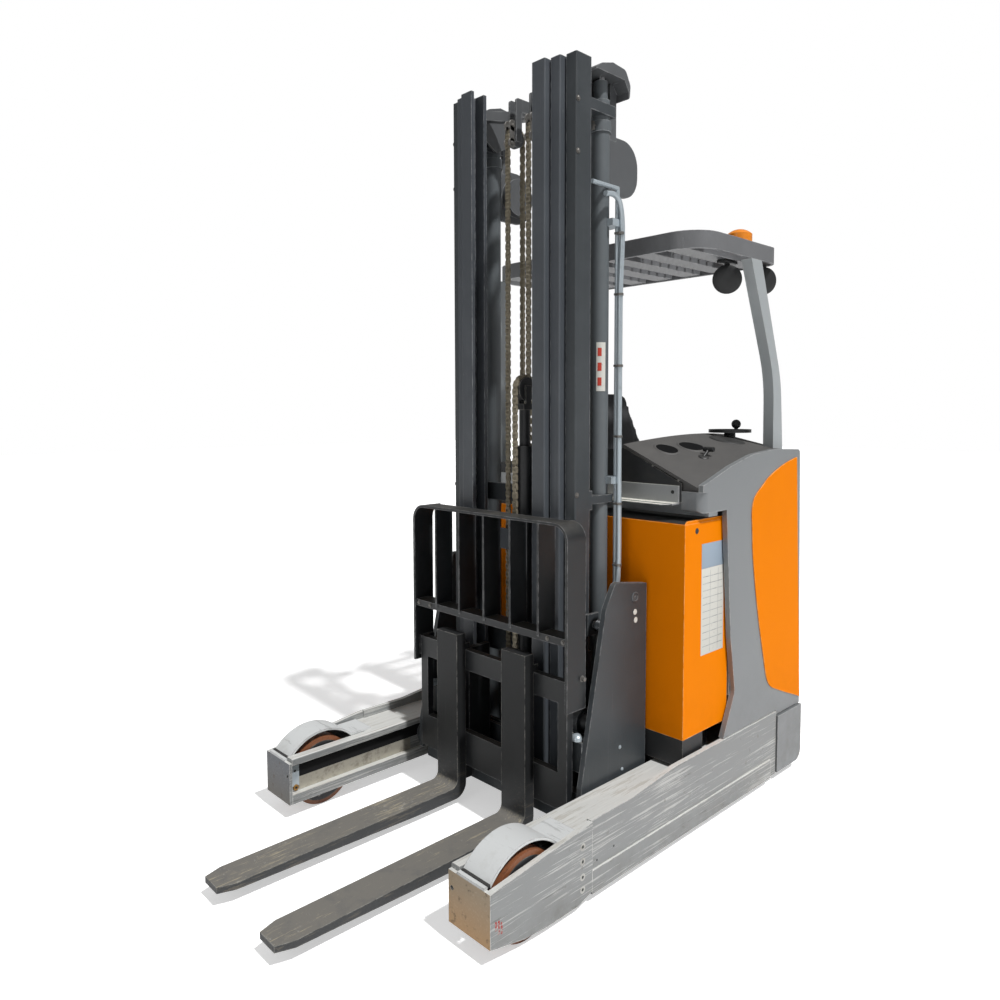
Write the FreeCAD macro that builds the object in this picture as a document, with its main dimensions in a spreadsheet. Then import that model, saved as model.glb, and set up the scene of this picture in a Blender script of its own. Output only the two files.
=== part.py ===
"""Electric reach truck, built in millimetres as a parametric document.

The truck is laid out from its rear face (x = 0), its centre line (y = 0, left is +Y)
and the floor (z = 0).  Every finished sub-part is then shifted back by half the
overall length, so the origin is at the centre of the footprint, on the floor.
"""
import FreeCAD, Part
import math
import os
import re

import Sketcher
from FreeCAD import Placement, Rotation, Vector

# ---------------------------------------------------------------- driving dimensions
SIZES = {
    # load arms
    "truck_width": 1270, "arm_width": 175, "arm_front": 1850, "arm_rear": 214,
    "arm_base": 32, "arm_top": 236, "arm_skin": 18, "arm_plate": 14, "strip_proud": 6,
    "strip_top": 108, "strip_rear": 266, "rim_front": 268, "rim_rear": 295,
    "rim_low_x": 1200, "rim_high_x": 950, "rim_bend": 260,
    # inner rail of each arm, open toward the centre line
    "rail_depth": 25, "rail_web": 10, "rail_floor": 62, "rail_low": 98, "rail_high": 210,
    # nose of each arm around its load wheel
    "nose_rear": 1411, "nose_plate": 18, "nose_wall": 12, "nose_front_top": 220,
    "nose_rear_top": 265, "nose_keel": 24, "nose_lug": 74, "stop_hole_radius": 7,
    # load wheels
    "load_wheel_x": 1680, "load_wheel_radius": 132, "load_wheel_width": 104,
    "load_tyre_wall": 22, "load_axle_radius": 25, "axle_clearance": 0.05,
    "fender_radius": 192, "fender_drop": 28, "fender_wall": 8, "fender_width": 114,
    "fender_foot": 160,
    # rear chassis and drive
    "skirt_top": 275, "skirt_base": 36, "skirt_wall": 14, "skirt_gap": 5,
    "bed_low": 100, "bed_top": 250, "bed_front": 845, "bed_half": 452,
    "drive_x": 262, "drive_wheel_radius": 180, "drive_wheel_width": 130,
    "drive_tyre_wall": 45, "drive_axle_radius": 30, "well_radius": 236,
    "housing_top": 430, "housing_wall": 12, "turntable_radius": 120, "turntable_wall": 24,
    "steer_shaft_radius": 45, "gearcase_gap": 8, "gearcase_width": 62,
    "motor_radius": 112, "motor_height": 300,
    # battery
    "battery_rear": 562, "bay_top": 1180, "battery_front": 862, "battery_width": 1200,
    "battery_low": 351, "battery_top": 1134, "battery_bevel": 30, "tray_low": 250,
    # body shell, floor and dash
    "shell_half": 625, "shell_wall": 20, "shell_low": 280, "shell_rear_low": 0,
    "shell_rear_top": 40, "shell_top_rear": 1376, "shell_top_knee": 1384,
    "shell_knee_x": 264, "shell_front": 786, "shell_corner": 90, "corner_round": 30, "shell_front_top": 1271,
    "shell_front_low": 1170, "shell_edge": 624, "shell_waist": 545,
    "entry_post": 120, "sill_top": 430, "rear_wall_top": 1060, "floor_sheet": 15,
    "dash_inner": 270, "dash_inner_top": 1440, "dash_wall": 12, "dash_rear": 24,
    "panel_sheet": 8, "shelf_depth": 46, "shelf_sheet": 6, "shelf_low": 1196,
    "cup_radius": 42, "cup_depth": 70,
    # seat
    "seat_x": 258, "seat_width": 400, "seat_top": 1070, "seat_thick": 100,
    "seat_front": 380, "seat_back": -95, "backrest_top": 1650, "backrest_thick": 95,
    "backrest_lean": 120, "pedestal_half": 180, "pedestal_wall": 8,
    "column_radius": 24, "wheel_x": 120, "wheel_inset": 74, "knob_radius": 20,
    "hand_wheel_radius": 90,
    # overhead guard
    "guard_top": 2207, "guard_band": 66, "guard_sheet": 12, "guard_front": 715,
    "guard_rear": 112, "guard_half": 553, "guard_corner": 130, "guard_bar": 80,
    "guard_pitch": 145, "rung_pitch": 62, "rung": 12,
    "pillar_foot_rear": 53, "pillar_depth": 82, "pillar_width": 45, "pillar_sweep": 205,
    "front_pillar_front": 745, "front_pillar_depth": 60,
    "beacon_x": 220, "beacon_radius": 52, "beacon_dome": 22, "beacon_height": 62, "mirror_radius": 66,
    # mast channels, counted outward from the centre line
    "inner_face": 161, "inner_width": 61, "middle_face": 229, "middle_width": 43,
    "outer_face": 279, "outer_width": 46, "channel_depth": 80, "flange": 15,
    "channel_web": 12, "outer_front": 1138, "stagger": 25,
    "outer_low": 135, "outer_top": 2776, "middle_low": 150, "middle_top": 2772,
    "inner_low": 165, "waist_low": 1000, "inner_top": 2770, "roller_clearance": 0.3, "roller_width": 26,
    "cross_plate": 16, "roller_low": 360, "roller_pitch": 380,
    # lift cylinders
    "lift_y": 285, "lift_x": 957, "lift_radius": 34, "lift_bore": 25, "lift_rod": 18,
    "lift_top": 2660, "collar_height": 68, "collar_radius": 26, "lift_seat": 200,
    "head_low": 2738, "head_top": 2781, "head_rear": 854, "head_front": 1050,
    "yoke_low": 2700, "yoke_radius": 239, "yoke_wall": 30,
    "free_x": 1147, "free_y": 85, "free_radius": 36, "free_bore": 27, "free_rod": 20,
    "free_top": 1410, "free_head": 1545, "free_pulley": 45, "free_pulley_width": 26,
    # chains
    "chain_y": 55, "chain_width": 24, "chain_thick": 10, "sheave_radius": 35,
    "sheave_x": 1054, "sheave_z": 2590, "chain_low": 320, "chain_anchor": 1262,
    # hydraulic pipe and hose pulley cover
    "pipe_x": 912, "pipe_y": 330, "pipe_radius": 8, "pipe_low": 860, "pipe_top": 2350,
    "cover_rear": 735, "cover_front": 912, "cover_low": 2340, "cover_top": 2552,
    "cover_sheet": 10, "cover_face": 288, "hose_pulley_radius": 78,
    # reach carriage
    "plate_half": 445, "plate_wall": 20, "plate_rear": 872, "plate_low": 120,
    "plate_top": 905, "reach_roller_radius": 55.7, "reach_roller_rear": 950,
    "reach_roller_front": 1170, "reach_roller_gap": 1, "reach_roller_width": 23,
    "rear_beam_top": 500, "rear_beam": 28, "floor_beam_low": 75, "floor_beam_top": 112,
    "reach_cylinder_radius": 34, "reach_rod_radius": 16, "reach_z": 175, "reach_y": -350,
    "reach_bore": 23, "reach_barrel_rear": 60, "reach_rod_rear": 150,
    # tilt pivot and tilt cylinders
    "pivot_x": 1120, "pivot_z": 426, "pivot_radius": 30, "tilt_pin_x": 895,
    "tilt_pin_z": 760, "tilt_eye_x": 1040, "tilt_y": 375, "tilt_barrel_radius": 26,
    "tilt_rod_radius": 13, "tilt_barrel_length": 90, "tilt_pin_radius": 12, "tilt_bore": 19, "eye_drift": 1.0,
    # fork carriage, backrest and forks
    "bar_rear": 1235, "bar_front": 1264, "bar_half": 400, "upper_bar_low": 530,
    "upper_bar_top": 610, "lower_bar_low": 150, "lower_bar_top": 282, "bar_post": 42,
    "roller_plate_in": 130, "roller_plate_out": 155,
    "rest_half": 420, "rest_low": 510, "rest_top": 1160, "rest_sheet": 10,
    "rest_rear": 1190, "rest_front": 1287, "rest_corner": 62, "rest_bar_z": 752,
    "rest_bar_height": 26, "rest_slat": 8, "rest_slat_pitch": 140,
    "fork_y": 183, "fork_width": 120, "fork_thick": 45, "fork_face": 1309,
    "fork_length": 971, "fork_low": 27, "fork_top": 677, "fork_tip_thick": 20,
    "fork_tip_width": 84, "fork_tip_taper": 58, "fork_heel": 55,
    # common
    "seat_gap": 0.3,
}

doc = FreeCAD.newDocument("reach_truck")
sheet = doc.addObject("Spreadsheet::Sheet", "dims")
for row, (alias, size) in enumerate(SIZES.items(), 1):
    sheet.set(f"A{row}", alias)
    sheet.set(f"B{row}", str(size))
    sheet.setAlias(f"B{row}", alias)

# A scratch property through which the document works a formula out.
probe = doc.addObject("App::FeaturePython", "probe")
probe.addProperty("App::PropertyFloat", "answer")
doc.recompute()

NODES = []


# ---------------------------------------------------------------- formulas and binding
def named(formula):
    """Turn a formula in plain size names into one that reads the sheet."""
    return re.sub(r"[a-z]\w*", lambda word: "dims." + word.group(), formula)


def value(formula):
    """The number that a formula gives with the sheet's present sizes."""
    probe.setExpression("answer", named(formula))
    probe.recompute()
    return probe.answer


def bind(thing, path, formula):
    """Tie one property of a document object to a formula."""
    thing.setExpression(path, named(formula))


# ---------------------------------------------------------------- primitive solids
def block(x, y, z):
    """A box between two planes along each axis, each pair given low to high."""
    box = doc.addObject("Part::Box", "block")
    for side, axis, (low, high) in zip(("Length", "Width", "Height"), "xyz", (x, y, z)):
        bind(box, side, f"({high}) - ({low})")
        bind(box, f"Placement.Base.{axis}", low)
    return box


TURNS = {"x": Rotation(Vector(0, 1, 0), 90), "y": Rotation(Vector(1, 0, 0), -90),
         "z": Rotation()}


def rod(axis, centre, span, radius):
    """A round bar along an axis; centre holds the two other coordinates in order."""
    cylinder = doc.addObject("Part::Cylinder", "rod")
    cylinder.Placement = Placement(Vector(), TURNS[axis])
    bind(cylinder, "Radius", radius)
    bind(cylinder, "Height", f"({span[1]}) - ({span[0]})")
    others = [name for name in "xyz" if name != axis]
    for name, where in zip(others, centre):
        bind(cylinder, f"Placement.Base.{name}", where)
    bind(cylinder, f"Placement.Base.{axis}", span[0])
    return cylinder


def ball(centre, radius):
    """A sphere about a centre."""
    sphere = doc.addObject("Part::Sphere", "ball")
    bind(sphere, "Radius", radius)
    for name, where in zip("xyz", centre):
        bind(sphere, f"Placement.Base.{name}", where)
    return sphere


PLANES = {"XY": ("XY_Plane", "z", 1), "XZ": ("XZ_Plane", "y", -1), "YZ": ("YZ_Plane", "x", 1)}


def prism(plane, outline, span):
    """A padded sketch. Each outline point is (u, v) or (u, v, corner radius)."""
    role, along, sign = PLANES[plane]
    body = doc.addObject("PartDesign::Body", "prism")
    sketch = body.newObject("Sketcher::SketchObject", "outline")
    origin = [item for item in body.Origin.OriginFeatures if item.Role == role][0]
    sketch.AttachmentSupport = (origin, [""])
    sketch.MapMode = "FlatFace"
    start = span[0] if sign > 0 else f"-({span[1]})"
    bind(sketch, "AttachmentOffset.Base.z", start)
    corners = [(value(point[0]), value(point[1])) for point in outline]
    for here, there in zip(corners, corners[1:] + corners[:1]):
        sketch.addGeometry(Part.LineSegment(Vector(*here, 0), Vector(*there, 0)), False)
    for index, point in enumerate(outline):
        following = (index + 1) % len(outline)
        sketch.addConstraint(Sketcher.Constraint("Coincident", index, 2, following, 1))
        for kind, place, formula in (("DistanceX", 0, point[0]), ("DistanceY", 1, point[1])):
            size = corners[index][place]
            number = sketch.addConstraint(Sketcher.Constraint(kind, -1, 1, index, 1, size))
            label = f"{kind[-1].lower()}{index}"
            sketch.renameConstraint(number, label)
            bind(sketch, f"Constraints.{label}", formula)
    pad = body.newObject("PartDesign::Pad", "pad")
    pad.Profile = sketch
    bind(pad, "Length", f"({span[1]}) - ({span[0]})")
    doc.recompute()
    round_corners(body, pad, along, outline, corners)
    return body


def round_corners(body, feature, along, outline, corners):
    """Fillet the padded corners whose outline point carries a radius."""
    radii = sorted({point[2] for point in outline if len(point) > 2})
    for radius in radii:
        spots = [corner for point, corner in zip(outline, corners) if point[2:] == (radius,)]
        names = [f"Edge{number}" for number, edge in enumerate(feature.Shape.Edges, 1)
                 if stands_on(edge, along, spots)]
        fillet = body.newObject("PartDesign::Fillet", "corner")
        fillet.Base = (feature, names)
        bind(fillet, "Radius", radius)
        doc.recompute()
        if "Invalid" in fillet.State:
            raise RuntimeError(f"corner radius {radius} does not fit outline {outline}")
        feature = fillet


def stands_on(edge, along, spots):
    """True for a straight edge that runs along the pad over one of the spots."""
    if edge.Curve.TypeId != "Part::GeomLine" or len(edge.Vertexes) < 2:
        return False
    if abs(getattr(edge.Curve.Direction, along)) < 0.999:
        return False
    others = [name for name in "xyz" if name != along]
    place = [getattr(edge.Vertexes[0].Point, name) for name in others]
    return any(math.hypot(place[0] - u, place[1] - v) < 0.01 for u, v in spots)


# ---------------------------------------------------------------- combining solids
def fuse(*pieces):
    """One solid from pieces that meet."""
    union = doc.addObject("Part::MultiFuse", "union")
    union.Shapes = list(pieces)
    union.Refine = True
    return union


def group(*pieces):
    """Pieces that share a sub-part without touching."""
    bundle = doc.addObject("Part::Compound", "bundle")
    bundle.Links = list(pieces)
    return bundle


def cut(base, *tools):
    """The base without the tools."""
    result = doc.addObject("Part::Cut", "cut")
    result.Base = base
    result.Tool = tools[0] if len(tools) == 1 else group(*tools)
    result.Refine = True
    return result


def common(first, second):
    """What two pieces share."""
    result = doc.addObject("Part::Common", "common")
    result.Base = first
    result.Tool = second
    return result


def mirrored(piece):
    """The same piece on the truck's other side."""
    twin = doc.addObject("Part::Mirroring", "mirrored")
    twin.Source = piece
    twin.Normal = Vector(0, 1, 0)
    return twin


def both(piece):
    """A piece and its mirror image, apart from each other."""
    return group(piece, mirrored(piece))


def tube(axis, centre, span, outer, inner):
    """A round bar with a bore right through."""
    return cut(rod(axis, centre, span, outer), rod(axis, centre, span, inner))


def shaped(shape):
    """A document object around a shape made with Part's own functions."""
    feature = doc.addObject("Part::Feature", "shaped")
    feature.Shape = shape
    return feature


def node(name, piece):
    """Name a finished sub-part and set it over the truck's origin."""
    part = group(piece)
    part.Label = name
    bind(part, "Placement.Base.x", "-(fork_face + fork_length) / 2")
    NODES.append(part)


ARM_OUT = "(truck_width / 2)"
ARM_IN = "(truck_width / 2 - arm_width)"
RAIL_BACK = f"({ARM_IN} + rail_depth)"
RAIL_OUT = f"({RAIL_BACK} + rail_web)"
NOSE_IN = f"({ARM_OUT} - nose_plate)"
WHEEL_Y = f"(({RAIL_OUT} + {NOSE_IN}) / 2)"


# ---------------------------------------------------------------- load arms and wheels
def arm():
    """Left arm: an open rail inside, a flat top and a tall outer wall with a rim."""
    inner_skin = f"({ARM_OUT} - strip_proud - arm_skin)"
    rail = prism("YZ", [
        (RAIL_OUT, "rail_floor"), (RAIL_OUT, "arm_top"), (ARM_IN, "arm_top", "strip_proud"),
        (ARM_IN, "rail_high"), (RAIL_BACK, "rail_high"), (RAIL_BACK, "rail_low"),
        (ARM_IN, "rail_low"), (ARM_IN, "rail_floor")], ("arm_rear", "arm_front - nose_wall"))
    lid = block(("arm_rear", "nose_rear + nose_lug"), (RAIL_OUT, inner_skin),
                ("arm_top - arm_plate", "arm_top"))
    wall = prism("XZ", [
        ("arm_rear", "arm_base"), ("nose_rear", "arm_base"), ("nose_rear", "rim_front"),
        ("rim_low_x", "rim_front", "rim_bend"), ("rim_high_x", "rim_rear", "rim_bend"),
        ("arm_rear", "rim_rear")], (inner_skin, f"{ARM_OUT} - strip_proud"))
    strip = block(("strip_rear", "nose_rear"), (f"{ARM_OUT} - strip_proud", ARM_OUT),
                  ("arm_base", "strip_top"))
    sole = block(("arm_rear", "nose_rear + nose_lug"), (f"{RAIL_OUT} - rail_web", inner_skin),
                 ("rail_floor", "rail_floor + arm_plate"))
    lug = block(("nose_rear - nose_plate", "nose_rear + nose_lug"),
                (f"{NOSE_IN} - nose_plate - arm_skin", NOSE_IN), ("rail_floor", "arm_top"))
    return fuse(rail, lid, wall, strip, sole, lug)


def arm_nose():
    """Left nose: bolted side plate, front wall and the stub that carries the wheel."""
    plate = prism("XZ", [
        ("arm_front", "rail_floor"), ("arm_front", "nose_front_top"),
        ("nose_rear", "nose_rear_top"), ("nose_rear", "nose_keel + 20"),
        ("nose_rear + 67", "nose_keel"), ("arm_front - 232", "nose_keel"),
        ("arm_front - 135", "nose_keel + 8")], (NOSE_IN, ARM_OUT))
    wall = block(("arm_front - nose_wall", "arm_front"), (ARM_IN, NOSE_IN),
                 ("rail_floor", "nose_front_top"))
    stub = rod("y", ("load_wheel_x", "load_wheel_radius"), (RAIL_OUT, NOSE_IN),
               "load_axle_radius")
    hole = rod("x", (f"{ARM_IN} + 15", "nose_front_top - 50"),
               ("arm_front - nose_wall", "arm_front"), "stop_hole_radius")
    return fuse(plate, cut(wall, hole), stub)


def fender():
    """Arched cover over the left load wheel, with a foot on the nose wall and one on the arm."""
    span = (f"{RAIL_OUT} + 2", f"{RAIL_OUT} + 2 + fender_width")
    centre = ("load_wheel_x", "load_wheel_radius - fender_drop")
    ring = tube("y", centre, span, "fender_radius", "fender_radius - fender_wall")
    ahead = block(("load_wheel_x", "arm_front"), span, ("nose_front_top", "3 * load_wheel_radius"))
    behind = block(("nose_rear", "load_wheel_x"), span, ("arm_top", "3 * load_wheel_radius"))
    front_foot = block(("load_wheel_x + fender_foot - 18", "arm_front"), span,
                       ("nose_front_top", "nose_front_top + fender_wall"))
    rear_foot = block(("nose_rear + nose_lug - 30", "load_wheel_x - fender_foot + 30"), span,
                      ("arm_top", "arm_top + fender_wall"))
    return fuse(common(ring, fuse(ahead, behind)), front_foot, rear_foot)


def load_tyre():
    span = (f"{WHEEL_Y} - load_wheel_width / 2", f"{WHEEL_Y} + load_wheel_width / 2")
    return tube("y", ("load_wheel_x", "load_wheel_radius"), span,
                "load_wheel_radius", "load_wheel_radius - load_tyre_wall")


def load_hub():
    """Steel centre: rim, a recessed disc and a bored boss around the stub axle."""
    centre = ("load_wheel_x", "load_wheel_radius")
    half = "load_wheel_width / 2"
    rim_radius = "(load_wheel_radius - load_tyre_wall)"
    rim = rod("y", centre, (f"{WHEEL_Y} - {half}", f"{WHEEL_Y} + {half}"), rim_radius)
    dish = rod("y", centre, (f"{WHEEL_Y} + {half} - 20", f"{WHEEL_Y} + {half}"),
               f"{rim_radius} - 14")
    dish_in = rod("y", centre, (f"{WHEEL_Y} - {half}", f"{WHEEL_Y} - {half} + 20"),
                  f"{rim_radius} - 14")
    boss = rod("y", centre, (f"{WHEEL_Y} - {half}", f"{WHEEL_Y} + {half}"),
               "load_axle_radius + 18")
    bore = rod("y", centre, (f"{WHEEL_Y} - {half}", f"{WHEEL_Y} + {half}"),
               "load_axle_radius + axle_clearance")
    return cut(fuse(cut(rim, dish, dish_in), boss), bore)


# ---------------------------------------------------------------- rear chassis and drive
def chassis_frame():
    """Bed between the arms with a round well, and a housing that carries the drive."""
    bed = block(("skirt_wall", "bed_front"), ("-bed_half", "bed_half"), ("bed_low", "bed_top"))
    housing = block(("shell_wall + 10", "drive_x + well_radius + housing_wall"),
                    ("-well_radius - housing_wall", "well_radius + housing_wall"),
                    ("bed_top", "housing_top"))
    hollow = block(("shell_wall + 10 + housing_wall", "drive_x + well_radius"),
                   ("-well_radius", "well_radius"),
                   ("bed_low", "housing_top - 20"))
    shaft_hole = rod("z", ("drive_x", "0"), ("housing_top - 20", "housing_top"),
                     "steer_shaft_radius + axle_clearance")
    cylinder_room = rod("x", ("reach_y", "reach_z"), ("reach_barrel_rear", "bed_front"),
                        "reach_cylinder_radius + seat_gap")
    return cut(fuse(bed, housing), hollow, shaft_hole, cylinder_room)


def side_tie():
    """Ties from the bed out to the left arm, above and below the rail's opening."""
    return block(("arm_rear", "bed_front - 200"), ("bed_half", ARM_IN),
                 ("rail_high", "bed_top"))


def steer_gearcase():
    """Turntable, shaft and the case beside the drive wheel, with the wheel's axle."""
    top = "(housing_top - 20 - seat_gap)"
    centre = ("drive_x", "0")
    plate = rod("z", centre, (f"{top} - turntable_wall", top), "turntable_radius")
    shaft = rod("z", centre, (top, "housing_top"), "steer_shaft_radius")
    near = "(drive_wheel_width / 2 + gearcase_gap)"
    leg = prism("XZ", [
        ("drive_x - 70", f"{top} - turntable_wall / 2"),
        ("drive_x - 70", "drive_wheel_radius - 60", "40"),
        ("drive_x + 70", "drive_wheel_radius - 60", "40"),
        ("drive_x + 70", f"{top} - turntable_wall / 2")], (near, f"{near} + gearcase_width"))
    arm_plate = block(("drive_x - 70", "drive_x + 70"), ("0", f"{near} + gearcase_width"),
                      (f"{top} - turntable_wall", top))
    axle = rod("y", ("drive_x", "drive_wheel_radius"), ("-drive_wheel_width / 2", near),
               "drive_axle_radius")
    return fuse(plate, shaft, leg, arm_plate, axle)


def drive_tyre():
    return tube("y", ("drive_x", "drive_wheel_radius"),
                ("-drive_wheel_width / 2", "drive_wheel_width / 2"),
                "drive_wheel_radius", "drive_wheel_radius - drive_tyre_wall")


def drive_hub():
    centre = ("drive_x", "drive_wheel_radius")
    span = ("-drive_wheel_width / 2 + 10", "drive_wheel_width / 2 - 10")
    rim = rod("y", centre, span, "drive_wheel_radius - drive_tyre_wall")
    dish = rod("y", centre, ("-drive_wheel_width / 2 + 10", "-drive_wheel_width / 2 + 30"),
               "drive_wheel_radius - drive_tyre_wall - 18")
    boss = rod("y", centre, span, "drive_axle_radius + 22")
    bore = rod("y", centre, span, "drive_axle_radius + axle_clearance")
    return cut(fuse(cut(rim, dish), boss), bore)


def rear_skirt():
    """Plates round the chassis below the body, open below and toward the arms."""
    outer = prism("XZ", [
        ("0", "skirt_base", "45"), ("arm_rear - skirt_gap", "skirt_base"),
        ("arm_rear - skirt_gap", "skirt_top"), ("0", "skirt_top")],
        (f"-{ARM_OUT}", ARM_OUT))
    inner = block(("skirt_wall", "arm_rear"),
                  (f"-{ARM_OUT} + skirt_wall", f"{ARM_OUT} - skirt_wall"),
                  ("0", "skirt_top"))
    return cut(outer, inner)


# ---------------------------------------------------------------- battery
def battery_box():
    return prism("XZ", [
        ("battery_rear", "battery_low"), ("battery_front", "battery_low"),
        ("battery_front", "battery_top"), ("battery_rear", "battery_top")],
        ("-battery_width / 2", "battery_width / 2"))


def battery_tray():
    """Steel tray under the battery with a lip round its foot at both front corners."""
    deck = block(("battery_rear + 40", "battery_front"),
                 ("-battery_width / 2", "battery_width / 2"), ("tray_low", "battery_low"))
    return cut(deck, block(("battery_rear", "battery_front - 130"),
                           ("battery_width / 2 - 60", "battery_width / 2"),
                           ("tray_low", "battery_low")))


# ---------------------------------------------------------------- body shell
def shell_side(span):
    """Side wall outline: waisted front edge, tall body and the dash's front corner."""
    return prism("XZ", [
        ("shell_rear_low", "shell_low"), ("arm_rear - skirt_gap", "shell_low"),
        ("arm_rear - skirt_gap", "rim_rear + 3"), ("shell_edge", "rim_rear + 3"),
        ("shell_waist", "shell_low + 180", "60"), ("shell_waist + 37", "shell_low + 400"),
        ("shell_edge", "shell_front_low"), ("shell_front", "shell_front_low", "12"),
        ("shell_front", "shell_front_top"), ("shell_front - 190", "shell_front_top + 61", "300"),
        ("shell_knee_x + 170", "shell_top_knee - 14", "300"), ("shell_knee_x", "shell_top_knee"),
        ("shell_rear_top", "shell_top_rear", "18")], span)


def shell_corner():
    """Rounded corner where the left wall turns across the front of the dash."""
    column = prism("XY", [
        ("shell_front - 60", "shell_half - shell_corner"),
        ("shell_front", "shell_half - shell_corner"),
        ("shell_front", "shell_half", "corner_round"), ("shell_front - 60", "shell_half")],
        ("shell_front_low", "shell_front_top - 26"))
    return common(column, shell_side(("shell_half - shell_corner", "shell_half")))


def body_shell():
    """Left and rear walls, the battery bay's wall and a low right side for the entry."""
    wall = shell_side(("shell_half - shell_wall", "shell_half"))
    left = cut(wall, block(("shell_front - 60", "shell_front"),
                           ("shell_half - shell_corner", "shell_half"),
                           ("shell_front_low", "shell_front_top - 26")))
    rear = prism("XZ", [
        ("shell_rear_low", "shell_low"), ("shell_rear_low + shell_wall", "shell_low"),
        ("shell_rear_top - 8 + shell_wall", "rear_wall_top"),
        ("shell_rear_top - 8", "rear_wall_top")],
        ("-shell_half + shell_wall", "shell_half - shell_wall"))
    post = prism("XZ", [
        ("shell_rear_low", "shell_low"), ("entry_post", "shell_low"),
        ("entry_post + 20", "rear_wall_top - 60", "60"), ("shell_rear_top", "rear_wall_top")],
        ("-shell_half", "-shell_half + shell_wall"))
    sill = block(("entry_post / 2", "battery_rear - 5"), ("-shell_half", "-shell_half + shell_wall"),
                 ("rim_rear + 3", "sill_top"))
    bay = block(("battery_rear - 13", "battery_rear - 5"),
                ("-shell_half + shell_wall", "shell_half - shell_wall"),
                ("housing_top + floor_sheet", "bay_top"))
    return fuse(left, shell_corner(), rear, post, sill, bay)


def cabin_floor():
    return block(("shell_rear_low + shell_wall + 8", "battery_rear - 5"),
                 ("-shell_half + shell_wall", "shell_half - shell_wall"),
                 ("housing_top", "housing_top + floor_sheet"))


def side_panel():
    """Raised panel on the body's left side, with curved front and lower edges."""
    low, high = value("shell_low + 20"), value("shell_top_rear - 32")
    rear_low, rear_high = value("shell_rear_low + 4"), value("shell_rear_top - 12")
    points = [(rear_low, low + 6), (122, low + 52), (206, low + 86), (277, low + 125),
              (320, low + 221), (363, low + 373), (408, low + 568), (431, low + 709),
              (438, low + 800), (436, low + 872), (420, low + 901), (375, low + 934),
              (320, low + 968), (244, low + 1001), (165, low + 1025), (rear_high + 44, high)]
    curve = Part.BSplineCurve()
    curve.interpolate([Vector(x, 0, z) for x, z in points[:]])
    edge = curve.toShape()
    close = Part.LineSegment(Vector(*xz(points[-1])), Vector(*xz(points[0]))).toShape()
    face = Part.Face(Part.Wire([edge, close]))
    panel = face.extrude(Vector(0, value("3"), 0))
    panel.translate(Vector(0, value("shell_half"), 0))
    return shaped(panel)


def xz(point):
    return point[0], 0, point[1]


def rear_panel():
    """Hood panel lying on the slanted rear wall."""
    slope = "((shell_rear_top - 8 - shell_rear_low) / (rear_wall_top - shell_low))"
    foot = f"shell_rear_low + {slope} * 140"
    head = f"shell_rear_low + {slope} * (rear_wall_top - 20 - shell_low)"
    return prism("XZ", [
        (foot, "shell_low + 140"), (f"{foot} - 5", "shell_low + 140"),
        (f"{head} - 5", "rear_wall_top - 20"), (head, "rear_wall_top - 20")],
        ("-shell_half + 60", "shell_half - 60"))


WHEEL_PLACE = ("wheel_x", "dash_inner + wheel_inset")


def dash_cover():
    """Sloping moulded top between the left wall and the operator's space."""
    outer, inner = value("shell_half - shell_wall"), value("dash_inner")
    stations = [("dash_rear + 20", "shell_top_rear - 14", "dash_inner_top - 6"),
                ("shell_knee_x", "shell_top_knee - 12", "dash_inner_top"),
                ("shell_front - 190", "shell_front_top + 49", "dash_inner_top - 14"),
                ("shell_front", "shell_front_top - 12", "dash_inner_top - 30")]
    sections = []
    for place, outer_top, inner_top in stations:
        x, low, high, wall = value(place), value(outer_top), value(inner_top), value("dash_wall")
        sections.append(Part.makePolygon([
            Vector(x, outer, low), Vector(x, inner, high), Vector(x, inner, high - wall),
            Vector(x, outer, low - wall), Vector(x, outer, low)]))
    cover = shaped(Part.makeLoft(sections, True))
    foot = "pillar_foot_rear"
    post_room = block((f"{foot} - 1", f"{foot} + pillar_depth + 6"),
                      ("guard_half - pillar_width - 1", "guard_half + 1"),
                      ("shell_front_top", "guard_top"))
    column_room = rod("z", WHEEL_PLACE, ("shell_front_top", "guard_top"),
                      "column_radius + seat_gap")
    corner_room = block(("shell_front - 60", "shell_front + 5"),
                        ("shell_half - shell_corner", "shell_half"),
                        ("shell_front_low", "shell_front_top - 26"))
    return cut(cover, post_room, column_room, corner_room)


def dash_front():
    """Dark front panel that closes the dash above the battery."""
    return prism("YZ", [
        ("shell_half - shell_corner", "shelf_low + 8"),
        ("shell_half - shell_corner", "shell_front_top + 14 - dash_wall - seat_gap"),
        ("dash_inner", "dash_inner_top - 30 - dash_wall - seat_gap"),
        ("-shell_half + 60", "dash_inner_top - 150"),
        ("-shell_half + 60", "shelf_low + 8")],
        ("shell_front - panel_sheet", "shell_front"))


def dash_shelf():
    """Aluminium angle along the front of the dash, its lip at the bottom."""
    across = ("-shell_half + 60", "shell_half - shell_corner - 10")
    lip = block(("shell_front", "shell_front + shelf_depth"), across,
                ("shelf_low", "shelf_low + shelf_sheet"))
    upright = block(("shell_front", "shell_front + shelf_sheet"), across,
                    ("shelf_low", "shelf_low + 62 + shelf_sheet"))
    return fuse(lip, upright)


# ---------------------------------------------------------------- seat and controls
def seat_pedestal():
    """Hollow stand over the traction motor that carries the seat."""
    outer = block(("seat_x - pedestal_half", "seat_x + pedestal_half"),
                  ("-pedestal_half", "pedestal_half"),
                  ("housing_top + floor_sheet", "seat_top - seat_thick - seat_gap"))
    inner = block(("seat_x - pedestal_half + pedestal_wall", "seat_x + pedestal_half - pedestal_wall"),
                  ("-pedestal_half + pedestal_wall", "pedestal_half - pedestal_wall"),
                  ("housing_top", "seat_top - seat_thick - 30"))
    return cut(outer, inner)


def drive_motor():
    return rod("z", ("drive_x", "0"),
               ("housing_top + floor_sheet", "housing_top + floor_sheet + motor_height"),
               "motor_radius")


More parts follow.
